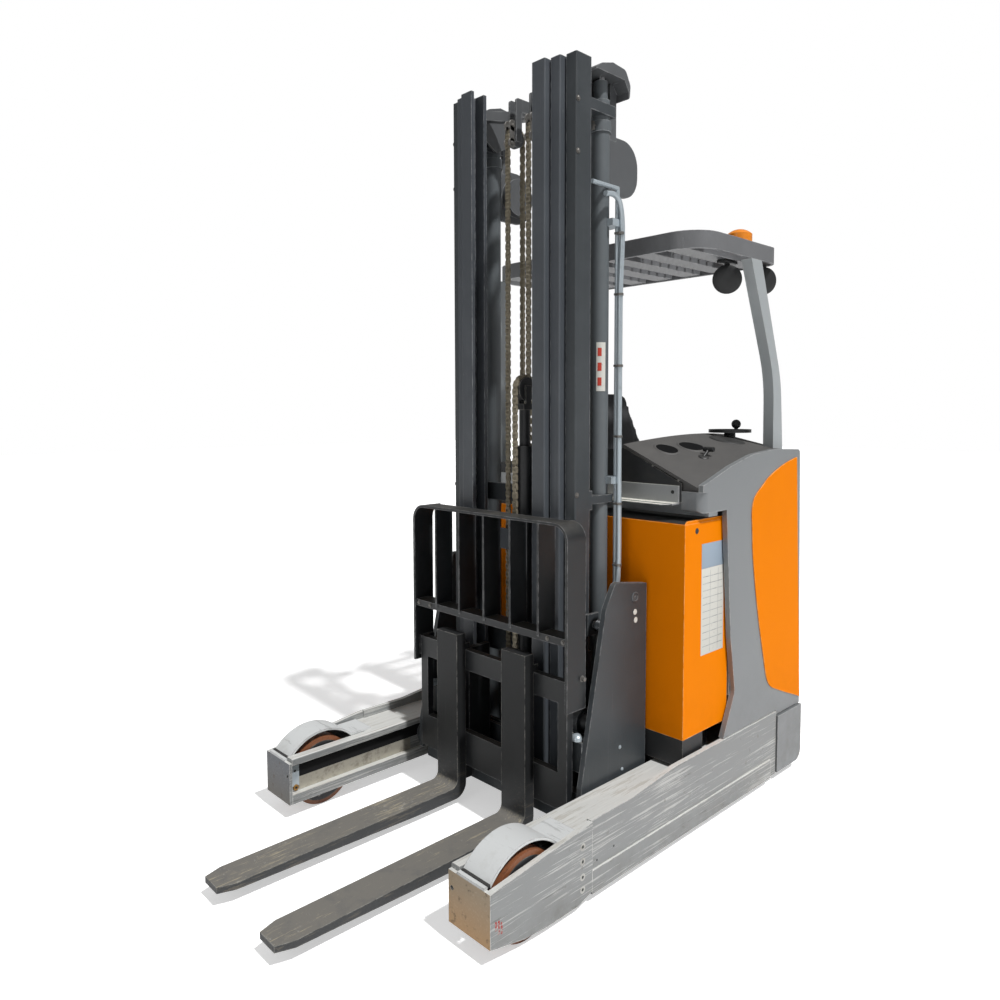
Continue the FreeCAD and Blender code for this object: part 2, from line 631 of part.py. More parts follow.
def seat_cushion():
    return prism("YZ", [
        ("seat_back", "seat_top - seat_thick", "20"), ("seat_front", "seat_top - seat_thick", "20"),
        ("seat_front", "seat_top", "45"), ("seat_back", "seat_top", "20")],
        ("seat_x - seat_width / 2", "seat_x + seat_width / 2"))


def seat_backrest():
    """Leaning back pad, tapered toward its top."""
    side = prism("YZ", [
        ("seat_back + 10", "seat_top + seat_gap"),
        ("seat_back + 10 - backrest_lean", "backrest_top", "35"),
        ("seat_back + 10 - backrest_lean - backrest_thick", "backrest_top - 12", "35"),
        ("seat_back + 10 - backrest_thick", "seat_top + seat_gap")],
        ("seat_x - seat_width / 2", "seat_x + seat_width / 2"))
    front = prism("XZ", [
        ("seat_x - seat_width / 2", "seat_top"), ("seat_x + seat_width / 2", "seat_top"),
        ("seat_x + seat_width / 2", "seat_top + 300", "200"),
        ("seat_x + seat_width / 2 - 90", "backrest_top", "60"),
        ("seat_x - seat_width / 2 + 90", "backrest_top", "60"),
        ("seat_x - seat_width / 2", "seat_top + 300", "200")],
        ("seat_back - backrest_lean - backrest_thick - 60", "seat_back + 60"))
    return common(side, front)


def seat_bracket():
    """Steel frame behind the cushion that carries the backrest."""
    return block(("seat_x - 60", "seat_x + 60"),
                 ("seat_back - backrest_thick - 20", "seat_back - seat_gap"),
                 ("seat_top - seat_thick + 10", "seat_top"))


def operator_controls():
    """Steering wheel on its column, two control levers and two pedals."""
    wheel_z = "(dash_inner_top + 10)"
    across, along = WHEEL_PLACE
    rim_low, rim_high = f"{wheel_z} - 7", f"{wheel_z} + 7"
    column = rod("z", WHEEL_PLACE, ("dash_inner_top - 300", wheel_z), "column_radius")
    rim = tube("z", WHEEL_PLACE, (rim_low, rim_high), "hand_wheel_radius", "hand_wheel_radius - 18")
    spoke = block((f"{across} - hand_wheel_radius + 10", f"{across} + hand_wheel_radius - 10"),
                  (f"{along} - 16", f"{along} + 40"), (f"{wheel_z} - 6", f"{wheel_z} + 4"))
    stem = rod("z", (across, f"{along} + 30"), (wheel_z, f"{wheel_z} + 30"), "8")
    knob = ball((across, f"{along} + 30", f"{wheel_z} + 30"), "knob_radius")
    steering = fuse(column, rim, spoke, stem, knob)
    pedal = block(("330", "430"), ("dash_inner + 120", "dash_inner + 230"),
                  ("housing_top + floor_sheet", "housing_top + floor_sheet + 45"))
    brake = block(("180", "290"), ("dash_inner + 120", "dash_inner + 230"),
                  ("housing_top + floor_sheet", "housing_top + floor_sheet + 45"))
    return group(steering, pedal, brake)


# ---------------------------------------------------------------- overhead guard
def guard_roof():
    """Rolled band round the roof, closed by bars that run fore and aft."""
    outer = [("guard_rear", "-guard_half", "60"), ("guard_front", "-guard_half", "guard_corner"),
             ("guard_front", "guard_half", "guard_corner"), ("guard_rear", "guard_half", "60")]
    span = ("guard_top - guard_band", "guard_top")
    inner = [("guard_rear + guard_sheet", "-guard_half + guard_sheet", "48"),
             ("guard_front - guard_sheet", "-guard_half + guard_sheet", "guard_corner - guard_sheet"),
             ("guard_front - guard_sheet", "guard_half - guard_sheet", "guard_corner - guard_sheet"),
             ("guard_rear + guard_sheet", "guard_half - guard_sheet", "48")]
    band = cut(prism("XY", outer, span), prism("XY", inner, span))
    bars = [block(("guard_rear + guard_sheet - 2", "guard_front - guard_sheet + 2"),
                  (f"{index} * guard_pitch - guard_bar / 2", f"{index} * guard_pitch + guard_bar / 2"),
                  ("guard_top - guard_band + 4", "guard_top - 26")) for index in range(-3, 4)]
    rungs = [block((f"guard_rear + {index} * rung_pitch", f"guard_rear + {index} * rung_pitch + rung"),
                   ("-3 * guard_pitch", "3 * guard_pitch"), ("guard_top - 44", "guard_top - 26"))
             for index in range(1, 8)]
    front = block(("guard_front - 150", "guard_front - 20"), ("-guard_half + 60", "guard_half - 60"),
                  ("guard_top - 34", "guard_top - 26"))
    return fuse(band, front, *bars, *rungs)


def guard_pillar():
    """Left rear pillar: upright from the floor, then swept forward under the roof band."""
    foot, high = "pillar_foot_rear", "guard_top - guard_band"
    front = f"{foot} + pillar_depth"
    return prism("XZ", [
        (foot, "housing_top + floor_sheet"), (front, "housing_top + floor_sheet"),
        (front, "shell_top_rear"), (f"{front} + 4", "shell_top_rear + 300", "500"),
        (f"{front} + pillar_sweep", high), (f"{foot} + pillar_sweep", high),
        (f"{foot} + 24", "shell_top_rear + 290", "500"), (foot, "shell_top_rear")],
        ("guard_half - pillar_width", "guard_half"))


def front_pillar():
    """Right front pillar, standing on a cross-tube that the left wall holds."""
    depth = ("guard_front - front_pillar_depth", "guard_front")
    post = block(depth, ("-guard_half", "-guard_half + pillar_width"),
                 ("battery_top + 16", "guard_top - guard_band"))
    beam = block(depth, ("-guard_half", "shell_half - shell_wall"),
                 ("battery_top + 16", "battery_top + 66"))
    return fuse(post, beam)


def beacon():
    """Lamp on the roof: a base, an upright lens and its domed top."""
    centre = ("beacon_x", "430")
    rim = "(guard_top + beacon_height)"
    base = rod("z", centre, ("guard_top - 26", "guard_top - 6"), "beacon_radius - 8")
    lens = rod("z", centre, ("guard_top - 6", rim), "beacon_radius")
    dome_radius = "((beacon_radius ^ 2 + beacon_dome ^ 2) / (2 * beacon_dome))"
    cap = rod("z", centre, (rim, f"{rim} + beacon_dome"), "beacon_radius")
    dome = ball((*centre, f"{rim} + beacon_dome - {dome_radius}"), dome_radius)
    return fuse(base, lens, common(dome, cap))


# ---------------------------------------------------------------- mast
def channel(face, width, front, low, high):
    """Left mast channel, open toward the centre line."""
    back = f"({front} - channel_depth)"
    out = f"({face} + {width})"
    return prism("XY", [
        (back, out), (front, out, "5"), (front, face), (f"{front} - flange", face),
        (f"{front} - flange", f"{out} - channel_web"), (f"{back} + flange", f"{out} - channel_web"),
        (f"{back} + flange", face), (back, face)], (low, high))


def guide_roller(web, x, z):
    """Roller on a stub outside a mast member's web, running in the next channel."""
    stub = rod("y", (x, z), (web, f"{web} + 10"), "14")
    wheel = rod("y", (x, z), (f"{web} + 9", f"{web} + 9 + roller_width"),
                "channel_depth / 2 - flange - roller_clearance")
    return [stub, wheel]


def mast_outer():
    """Outer uprights, cross-members, pivot bosses, cylinder seats and clamps."""
    upright = channel("outer_face", "outer_width", "outer_front", "outer_low", "outer_top")
    back = "(outer_front - channel_depth)"
    out = "(outer_face + outer_width)"
    crosses = [block((f"{back} - cross_plate", back), (f"-{out}", out), (low, high))
               for low, high in (("outer_low", "outer_low + 130"), ("560", "660"),
                                 ("1180", "1250"))]
    seats = []
    for low, high in (("lift_seat - 40", "lift_seat"), ("1200", "1230"), ("2600", "2640")):
        seats.append(block(("lift_x - lift_radius - 2", back),
                           ("lift_y - 30", "lift_y + lift_radius + 6"), (low, high)))
    boss = rod("y", ("pivot_x", "pivot_z"), (out, f"{out} + 34"), "pivot_radius + 16")
    lug = block(("tilt_eye_x - 24", f"{back} + 20"), (out, f"{out} + 12"),
                ("tilt_pin_z - 40", "tilt_pin_z + 40"))
    pin = rod("y", ("tilt_eye_x", "tilt_pin_z"), (out, "tilt_y + 22"), "tilt_pin_radius")
    half = fuse(upright, *seats, boss, lug, pin)
    barrel_room = rod("z", ("lift_x", "lift_y"), ("lift_seat", "outer_top"),
                      "lift_radius + seat_gap")
    pivot_bore = rod("y", ("pivot_x", "pivot_z"), (f"{out}", f"{out} + 34"),
                     "pivot_radius + axle_clearance")
    left = cut(half, barrel_room, pivot_bore)
    return fuse(left, mirrored(left), *crosses)


def lift_cylinder():
    """Left lift cylinder: barrel closed below, gland collar round the rod above."""
    centre = ("lift_x", "lift_y")
    barrel = rod("z", centre, ("lift_seat", "lift_top"), "lift_radius")
    collar = rod("z", centre, ("lift_top", "lift_top + collar_height"), "collar_radius")
    bore = rod("z", centre, ("lift_seat + 30", "lift_top"), "lift_bore")
    gland = rod("z", centre, ("lift_top", "lift_top + collar_height"), "lift_rod + seat_gap")
    return cut(fuse(barrel, collar), bore, gland)


def mast_pipes():
    """Left hydraulic pipe with its clamps against the lift cylinder."""
    pipe = rod("z", ("pipe_x", "pipe_y"), ("pipe_low", "pipe_top"), "pipe_radius")
    elbow = ball(("pipe_x", "pipe_y", "pipe_top"), "pipe_radius")
    branch = rod("x", ("pipe_y", "pipe_top"), ("pipe_x", "outer_front - channel_depth"),
                 "pipe_radius")
    clamps = [block(("pipe_x - 14", "lift_x"), ("lift_y", "pipe_y + 14"), (low, f"{low} + 26"))
              for low in ("1270", "2210")]
    room = rod("z", ("lift_x", "lift_y"), ("pipe_low", "pipe_top"), "lift_radius + seat_gap")
    return cut(fuse(pipe, elbow, branch, *clamps), room)


def mast_middle():
    """Middle uprights with guide rollers and a cross-member at foot and head."""
    front = "(outer_front + stagger)"
    back = f"({front} - channel_depth)"
    out = "(middle_face + middle_width)"
    upright = channel("middle_face", "middle_width", front, "middle_low", "middle_top")
    rollers = [piece for step in (0, 1)
               for piece in guide_roller(out, "outer_front - channel_depth / 2",
                                         f"roller_low + {step} * roller_pitch")]
    half = fuse(upright, *rollers)
    foot = block((f"{back} - 17", back), (f"-{out}", out), ("middle_low + 20", "middle_low + 110"))
    return fuse(half, mirrored(half), foot)


def mast_head():
    """Hoods that the lift rods push, the bowed yoke between them and the chain sheaves."""
    back = "(outer_front + stagger - channel_depth)"
    bow = tube("z", ("outer_front + 14", "0"), ("yoke_low", "head_low"),
               "yoke_radius + yoke_wall / 2", "yoke_radius - yoke_wall / 2")
    yoke = common(bow, block(("head_rear", back), ("-middle_face - 30", "middle_face + 30"),
                             ("yoke_low", "head_low")))
    link = block(("head_front - 10", back), ("middle_face + 7", "middle_face + 41"),
                 ("yoke_low", "head_low"))
    half = fuse(head_hood(), link, cover_link())
    plates = [prism("XZ", [
        ("sheave_x - 150", "head_low"), ("sheave_x - 150", "yoke_low"),
        ("sheave_x - 16", "yoke_low - 10"), ("sheave_x - 16", "sheave_z - 16"),
        ("sheave_x + 16", "sheave_z - 16"), ("sheave_x + 16", "head_low", "12")], (low, high))
        for low, high in (("chain_y - 21", "chain_y - 14"), ("chain_y + 14", "chain_y + 21"))]
    sheave = rod("y", ("sheave_x", "sheave_z"), ("chain_y - 13", "chain_y + 13"), "sheave_radius")
    pin = rod("y", ("sheave_x", "sheave_z"), ("chain_y - 21", "chain_y + 21"), "9")
    pulley = fuse(sheave, pin, *plates)
    return fuse(yoke, half, mirrored(half), pulley, mirrored(pulley))


def head_hood():
    """Left hood: a domed cap over the lift rod with a deep plate on its inner side."""
    inside, outside = "middle_face + 7", "pipe_y + 12"
    shell = prism("XZ", [
        ("head_front", "head_low + 4", "12"), ("head_front - 27", "head_top - 19", "60"),
        ("lift_x", "head_top"), ("head_rear + 30", "head_top - 6", "24"),
        ("head_rear", "head_low - 10", "30"), ("head_rear + 4", "head_low - 56", "24"),
        ("lift_x - 30", "lift_top - 35"), ("lift_x + 20", "lift_top - 65", "20"),
        ("head_front", "lift_top - 20")], (inside, outside))
    hollow = prism("XZ", [
        ("head_rear + 10", "lift_top - 80"), ("head_front + 2", "lift_top - 80"),
        ("head_front + 2", "head_low - 4"), ("head_front - 12", "head_low"),
        ("head_rear + 36", "head_low"), ("head_rear + 10", "head_low - 34")],
        (f"{inside} + 10", outside))
    return cut(shell, hollow)


def cover_link():
    """Flat bar from the left hood down to the hose cover."""
    return block(("head_rear + 14", "cover_front - 7"),
                 ("cover_face - cover_sheet", "cover_face"), ("cover_top - 15", "head_low + 6"))


def lift_rod():
    return rod("z", ("lift_x", "lift_y"), ("lift_seat + 120", "head_low"), "lift_rod")


def hose_cover():
    """Left rounded cover plate with the hose pulley behind it."""
    plate = prism("XZ", [
        ("cover_rear", "cover_low", "90"), ("cover_front", "cover_low", "12"),
        ("cover_front", "cover_top", "12"), ("cover_rear", "cover_top", "90")],
        ("cover_face - cover_sheet", "cover_face"))
    plate_room = block(("head_rear + 14", "cover_front - 7"),
                       ("cover_face - cover_sheet", "cover_face"), ("cover_top - 15", "cover_top"))
    pulley = rod("y", ("cover_rear + 95", "(cover_low + cover_top) / 2"),
                 ("cover_face - cover_sheet - 28", "cover_face - cover_sheet"),
                 "hose_pulley_radius")
    return fuse(cut(plate, plate_room), pulley)


def lift_chain():
    """Left lift chain over its sheave: a long front run and a shorter rear run."""
    span = ("chain_y - chain_width / 2", "chain_y + chain_width / 2")
    outer = "(sheave_radius + chain_thick + seat_gap)"
    inner = "(sheave_radius + seat_gap)"
    front = block((f"sheave_x + {inner}", f"sheave_x + {outer}"), span, ("chain_low", "sheave_z"))
    rear = block((f"sheave_x - {outer}", f"sheave_x - {inner}"), span, ("chain_anchor", "sheave_z"))
    bend = tube("y", ("sheave_x", "sheave_z"), span, outer, inner)
    over = common(bend, block((f"sheave_x - {outer}", f"sheave_x + {outer}"), span,
                              ("sheave_z", "sheave_z + 100")))
    return fuse(front, rear, over)


def mast_inner():
    """Inner uprights with guide rollers, foot plate and a cross plate at the waist."""
    front = "(outer_front + 2 * stagger - 1)"
    back = f"({front} - channel_depth)"
    out = "(inner_face + inner_width)"
    upright = channel("inner_face", "inner_width", front, "inner_low", "inner_top")
    rollers = [piece for step in (0, 1)
               for piece in guide_roller(out, "outer_front + stagger - channel_depth / 2",
                                         f"roller_low + {step} * roller_pitch")]
    half = fuse(upright, *rollers)
    foot = block((back, front), ("-inner_face - 2", "inner_face + 2"), ("inner_low", "inner_low + 25"))
    waist = cut(block((back, f"{back} + flange"), ("-inner_face - 2", "inner_face + 2"),
                      ("waist_low", "waist_low + 80")),
                rod("z", ("free_x", "free_y"), ("inner_low", "free_top"), "free_radius + seat_gap"))
    return fuse(half, mirrored(half), foot, waist)


def free_lift_cylinder():
    centre = ("free_x", "free_y")
    barrel = rod("z", centre, ("inner_low + 25", "free_top"), "free_radius")
    bore = rod("z", centre, ("inner_low + 60", "free_top - 40"), "free_bore")
    gland = rod("z", centre, ("free_top - 40", "free_top"), "free_rod + seat_gap")
    return cut(barrel, bore, gland)


def carriage_chain():
    """Free-lift chain over its pulley, with a run on each side."""
    span = ("free_y - 12", "free_y + 12")
    outer = "(free_pulley + chain_thick + seat_gap)"
    inner = "(free_pulley + seat_gap)"
    middle = "(free_head + 76)"
    front = block((f"free_x + {inner}", f"free_x + {outer}"), span, ("upper_bar_top + 10", middle))
    rear = block((f"free_x - {outer}", f"free_x - {inner}"), span, ("free_top - 60", middle))
    bend = tube("y", ("free_x", middle), span, outer, inner)
    over = common(bend, block((f"free_x - {outer}", f"free_x + {outer}"), span,
                              (middle, f"{middle} + 120")))
    return fuse(front, rear, over)


def free_lift_head():
    """Free-lift rod with its crosshead and chain pulley."""
    centre = ("free_x", "free_y")
    shaft = rod("z", centre, ("inner_low + 110", "free_head"), "free_rod")
    block_head = block(("free_x - 26", "free_x + 26"), ("free_y - 22", "free_y + 22"),
                       ("free_head", "free_head + 22"))
    ears = [block(("free_x - 14", "free_x + 14"), (low, high), ("free_head + 22", "free_head + 90"))
            for low, high in (("free_y - 22", "free_y - 15"), ("free_y + 15", "free_y + 22"))]
    pulley = rod("y", ("free_x", "free_head + 76"), ("free_y - 15", "free_y + 15"), "free_pulley")
    return fuse(shaft, block_head, pulley, *ears)


# ---------------------------------------------------------------- reach carriage
def reach_carriage():
    """Side plates with rail rollers, joined by beams behind and below the mast."""
    inside = "(plate_half - plate_wall)"
    plate = prism("XZ", [
        ("plate_rear", "plate_low"), ("plate_rear", "plate_top"),
        ("plate_rear + 185", "plate_top + 28", "30"), ("plate_rear + 238", "plate_top - 60", "30"),
        ("plate_rear + 368", "plate_low + 120"), ("plate_rear + 368", "plate_low")],
        (inside, "plate_half"))
    rollers = []
    middle = "((rail_low + rail_high) / 2)"
    for x in ("reach_roller_rear", "reach_roller_front"):
        rollers.append(rod("y", (x, middle), ("plate_half", f"{ARM_IN} + 2"), "20"))
        rollers.append(rod("y", (x, middle), (f"{ARM_IN} + reach_roller_gap",
                                              f"{ARM_IN} + reach_roller_gap + reach_roller_width"),
                           "reach_roller_radius"))
    pivot = rod("y", ("pivot_x", "pivot_z"), ("outer_face + outer_width", inside), "pivot_radius")
    tilt_pin = rod("y", ("tilt_pin_x", "tilt_pin_z"), ("tilt_y - 24", inside), "tilt_pin_radius")
    upper = block(("pivot_x + 56", "bar_rear - 19"), ("plate_half - 97", inside),
                  ("pivot_z - 143", "pivot_z - 35"))
    lower = block(("pivot_x + 60", "bar_rear - 21"), ("290", inside),
                  ("floor_beam_low", "floor_beam_top + 93"))
    half = fuse(plate, *rollers, pivot, tilt_pin, upper, lower)
    rear_beam = block(("plate_rear", "plate_rear + rear_beam"), (f"-{inside}", inside),
                      ("plate_low", "rear_beam_top"))
    floor_beam = block(("plate_rear", "pivot_x + 90"), (f"-{inside}", inside),
                       ("floor_beam_low", "floor_beam_top"))
    return fuse(half, mirrored(half), rear_beam, floor_beam)


def reach_barrel():
    """Reach cylinder's barrel, lying in the chassis bed with its gland in front."""
    centre = ("reach_y", "reach_z")
    barrel = rod("x", centre, ("reach_barrel_rear", "bed_front"), "reach_cylinder_radius")
    bore = rod("x", centre, ("reach_barrel_rear + 20", "bed_front - 20"), "reach_bore")
    gland = rod("x", centre, ("bed_front - 20", "bed_front"), "reach_rod_radius + seat_gap")
    return cut(barrel, bore, gland)


def reach_rod():
    return rod("x", ("reach_y", "reach_z"), ("reach_rod_rear", "plate_rear"),
               "reach_rod_radius")


def tilt_barrel():
    """Left tilt cylinder's barrel with the eye on the side plate's pin."""
    eye = rod("y", ("tilt_pin_x", "tilt_pin_z"), ("tilt_y - 20", "tilt_y + 20"),
              "tilt_pin_radius + 14")
    end = "(tilt_pin_x + tilt_barrel_length)"
    barrel = rod("x", ("tilt_y", "tilt_pin_z"), ("tilt_pin_x", end), "tilt_barrel_radius")
    bore = rod("x", ("tilt_y", "tilt_pin_z"), ("tilt_pin_x + 24", f"{end} - 8"), "tilt_bore")
    gland = rod("x", ("tilt_y", "tilt_pin_z"), (f"{end} - 8", end),
                "tilt_rod_radius + seat_gap")
    pin_room = rod("y", ("tilt_pin_x", "tilt_pin_z"), ("tilt_y - 28", "tilt_y + 28"),
                   "tilt_pin_radius + axle_clearance")
    return cut(fuse(eye, barrel), bore, gland, pin_room)


def tilt_rod():
    """Left tilt cylinder's rod; its eye is where the closed linkage is opened."""
    shaft = rod("x", ("tilt_y", "tilt_pin_z"), ("tilt_pin_x + 46", "tilt_eye_x"),
                "tilt_rod_radius")
    eye = rod("y", ("tilt_eye_x", "tilt_pin_z"), ("tilt_y - 18", "tilt_y + 18"),
              "tilt_pin_radius + 12")
    room = rod("y", ("tilt_eye_x", "tilt_pin_z"), ("tilt_y - 18", "tilt_y + 18"),
               "tilt_pin_radius + eye_drift")
    return cut(fuse(shaft, eye), room)


# ---------------------------------------------------------------- fork carriage
def fork_carriage():
    """Two bars joined by end posts, with roller plates that reach into the inner mast."""
    bars = [block(("bar_rear", "bar_front"), ("-bar_half", "bar_half"), (low, high))
            for low, high in (("upper_bar_low", "upper_bar_top"), ("lower_bar_low", "lower_bar_top"))]
    post = block(("bar_rear", "bar_front"), ("bar_half - bar_post", "bar_half"),
                 ("lower_bar_low", "upper_bar_top"))
    plate = block(("free_x - 20", "bar_rear + 4"), ("roller_plate_in", "roller_plate_out"),
                  ("lower_bar_low + 55", "upper_bar_top"))
    track = "(outer_front + 2 * stagger - 1 - channel_depth / 2)"
    rollers = []
    for z in ("lower_bar_low + 115", "upper_bar_top - 60"):
        rollers.append(rod("y", (track, z), ("roller_plate_out", "inner_face + 6"), "14"))
        rollers.append(rod("y", (track, z), ("inner_face + 4", "inner_face + 44"),
                           "channel_depth / 2 - flange - roller_clearance"))
    heel = block(("bar_rear - 13", "bar_front"),
                 ("roller_plate_in", "roller_plate_out"), ("lower_bar_low - 60", "lower_bar_low"))
    half = fuse(post, plate, heel, *rollers)
    return fuse(half, mirrored(half), *bars)


def load_backrest():
    """Bent flat bar with a cross bar and five slats, bolted to the carriage's ends."""
    across = ("rest_rear", "rest_front")
    outer = prism("YZ", [
        ("-rest_half", "rest_low"), ("rest_half", "rest_low"), ("rest_half", "rest_top", "rest_corner"),
        ("-rest_half", "rest_top", "rest_corner")], across)
    inner = prism("YZ", [
        ("-rest_half + rest_sheet", "rest_low"), ("rest_half - rest_sheet", "rest_low"),
        ("rest_half - rest_sheet", "rest_top - rest_sheet", "rest_corner - rest_sheet"),
        ("-rest_half + rest_sheet", "rest_top - rest_sheet", "rest_corner - rest_sheet")], across)
    chain_room = block(("rest_rear", "rest_rear + 18"), ("-rest_half + rest_corner", "rest_half - rest_corner"),
                       ("rest_top - rest_corner", "rest_top"))
    hoop = cut(outer, inner, chain_room)
    bar = block(("rest_rear + 20", "rest_front - 8"), ("-rest_half + 4", "rest_half - 4"),
                ("rest_bar_z - rest_bar_height / 2", "rest_bar_z + rest_bar_height / 2"))
    slats = [block(("rest_rear + 6", "rest_front - 4"),
                   (f"{index} * rest_slat_pitch - rest_slat / 2",
                    f"{index} * rest_slat_pitch + rest_slat / 2"),
                   ("rest_bar_z", "rest_top - rest_sheet + 2")) for index in range(-2, 3)]
    foot = block(("rest_rear + 4", "bar_front"), ("bar_half", "rest_half - rest_sheet + 2"),
                 ("upper_bar_low", "upper_bar_top"))
    return fuse(hoop, bar, foot, mirrored(foot), *slats)


def fork():
    """Left fork: shank, worn heel and a blade tapered in thickness and plan."""
    tip = "(fork_face + fork_length)"
    side = prism("XZ", [
        ("fork_face - fork_thick", "fork_low", "fork_heel"),
        ("fork_face + 160", "fork_low"), (tip, "fork_low + fork_thick - fork_tip_thick"),
        (tip, "fork_low + fork_thick"), ("fork_face", "fork_low + fork_thick", "30"),
        ("fork_face", "fork_top"), ("fork_face - fork_thick", "fork_top")],
        ("fork_y - fork_width / 2", "fork_y + fork_width / 2"))
    plan = prism("XY", [
        ("fork_face - fork_thick", "fork_y - fork_width / 2"),
        (f"{tip} - fork_tip_taper", "fork_y - fork_width / 2", "30"),
        (tip, "fork_y - fork_tip_width / 2"), (tip, "fork_y + fork_tip_width / 2"),
        (f"{tip} - fork_tip_taper", "fork_y + fork_width / 2", "30"),
        ("fork_face - fork_thick", "fork_y + fork_width / 2")],
        ("fork_low - 5", "fork_top + 5"))
    hook = block(("bar_rear + 6", "fork_face - fork_thick"),
                 ("fork_y - fork_width / 2", "fork_y + fork_width / 2"),
                 ("upper_bar_top", "upper_bar_top + 26"))
    return fuse(common(side, plan), hook)


# ---------------------------------------------------------------- assembly
def build():
    left_arm = arm()
    node("arm_left", left_arm)
    node("arm_right", mirrored(left_arm))
    left_nose = arm_nose()
    node("arm_nose_left", left_nose)
    node("arm_nose_right", mirrored(left_nose))
    node("load_wheel_fenders", both(fender()))
    tyre, hub = load_tyre(), load_hub()
    node("load_tyre_left", tyre)
    node("load_hub_left", hub)
    node("load_tyre_right", mirrored(tyre))
    node("load_hub_right", mirrored(hub))
    tie = side_tie()
    node("chassis_frame", fuse(chassis_frame(), tie, mirrored(tie)))
    node("steer_gearcase", steer_gearcase())
    node("drive_tyre", drive_tyre())
    node("drive_hub", drive_hub())
    node("rear_skirt", rear_skirt())
    node("battery_box", battery_box())
    node("battery_tray", battery_tray())
    node("body_shell", body_shell())
    node("cabin_floor", cabin_floor())
    node("side_panel", side_panel())
    node("rear_panel", rear_panel())
    node("dash_cover", dash_cover())
    node("dash_front", dash_front())
    node("dash_shelf", dash_shelf())
    node("seat_pedestal", seat_pedestal())
    node("drive_motor", drive_motor())
    node("seat_cushion", seat_cushion())
    node("seat_backrest", seat_backrest())
    node("seat_bracket", seat_bracket())
    node("operator_controls", operator_controls())
    node("guard_roof", guard_roof())
    pillar = guard_pillar()
    node("guard_pillars", group(pillar, mirrored(pillar), front_pillar()))
    node("beacon", beacon())
    node("mast_outer", mast_outer())
    node("lift_cylinders", both(lift_cylinder()))
    node("mast_pipes", mast_pipes())
    node("mast_middle", mast_middle())
    node("mast_head", mast_head())
    node("lift_rods", both(lift_rod()))
    node("hose_cover", both(hose_cover()))
    node("lift_chains", both(lift_chain()))
    node("mast_inner", mast_inner())
    node("free_lift_cylinder", free_lift_cylinder())
    node("free_lift_head", free_lift_head())
    node("carriage_chains", carriage_chain())
    node("reach_carriage", reach_carriage())
    node("reach_barrel", reach_barrel())
    node("reach_rod", reach_rod())
    node("tilt_barrels", both(tilt_barrel()))
    node("tilt_rods", both(tilt_rod()))
    node("fork_carriage", fork_carriage())
    node("load_backrest", load_backrest())
    node("forks", both(fork()))


def check_and_write():
    """Refuse a document with a failed object or a bad shape, then write every node."""
    doc.recompute()
    for thing in doc.Objects:
        if "Invalid" in thing.State or "Error" in thing.State:
            raise RuntimeError(f"{thing.Name} ({thing.Label}) failed: {thing.State}")
    for part in NODES:
        if part.Shape.isNull() or not part.Shape.isValid() or not part.Shape.Solids:
            raise RuntimeError(f"{part.Label} has no valid solid")
    os.makedirs("parts", exist_ok=True)
    for part in NODES:
        part.Shape.exportStep(f"parts/{part.Label}.step")
        print(part.Label, len(part.Shape.Solids), round(part.Shape.Volume / 1e6, 2), "litres")


build()
check_and_write()
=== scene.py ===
# %% [markdown]
# A reach truck is a warehouse lift truck whose whole mast rolls forward between two load arms.
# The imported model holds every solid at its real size, so this lesson only dresses it.
# The frame is loaded first, because every piece made later is placed from its boxes.

# %% Load the frame
import bpy
import bmesh
import math
from mathutils import Matrix, Vector


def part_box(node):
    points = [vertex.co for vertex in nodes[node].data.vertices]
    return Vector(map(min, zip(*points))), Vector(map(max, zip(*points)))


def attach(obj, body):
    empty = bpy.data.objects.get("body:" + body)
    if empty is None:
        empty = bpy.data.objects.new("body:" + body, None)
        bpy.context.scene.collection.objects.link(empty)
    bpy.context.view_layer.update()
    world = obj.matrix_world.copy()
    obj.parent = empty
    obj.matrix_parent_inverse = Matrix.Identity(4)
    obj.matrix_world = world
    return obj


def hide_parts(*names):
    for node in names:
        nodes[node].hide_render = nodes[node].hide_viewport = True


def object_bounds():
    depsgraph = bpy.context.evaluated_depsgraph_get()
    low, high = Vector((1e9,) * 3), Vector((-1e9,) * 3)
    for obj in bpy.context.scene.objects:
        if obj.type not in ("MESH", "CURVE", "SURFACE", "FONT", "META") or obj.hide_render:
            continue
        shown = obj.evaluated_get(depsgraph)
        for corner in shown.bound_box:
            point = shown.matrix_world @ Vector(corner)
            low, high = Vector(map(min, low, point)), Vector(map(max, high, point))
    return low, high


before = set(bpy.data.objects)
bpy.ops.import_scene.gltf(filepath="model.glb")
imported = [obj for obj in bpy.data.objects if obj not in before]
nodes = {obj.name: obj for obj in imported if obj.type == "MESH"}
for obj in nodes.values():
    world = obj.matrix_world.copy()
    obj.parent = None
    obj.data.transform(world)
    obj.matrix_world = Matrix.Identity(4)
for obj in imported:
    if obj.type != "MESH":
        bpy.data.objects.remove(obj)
cad_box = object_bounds()
print("nodes:", len(nodes), "box:", [[round(v, 3) for v in corner] for corner in cad_box])

# %% [markdown]
# The camera stands in front of the truck's left load arm at eye height. A camera that looks down
# makes upright rails lean, so this one stays nearly level, and a lens shift lowers the view
# instead. Its three axes are given directly, because a tracked target can't hold a roll.

# %% Camera
LENS_MM, SENSOR_MM = 28.33, 36
SHIFT = (0.0165, -0.0398)
EYE = (2.12852, 2.14179, 1.53843)
RIGHT = (-0.73246567, 0.68079526, -0.00344346)
UPWARD = (-0.04452003, -0.04285064, 0.99808907)
AHEAD = (-0.67934675, -0.73121928, -0.06169565)


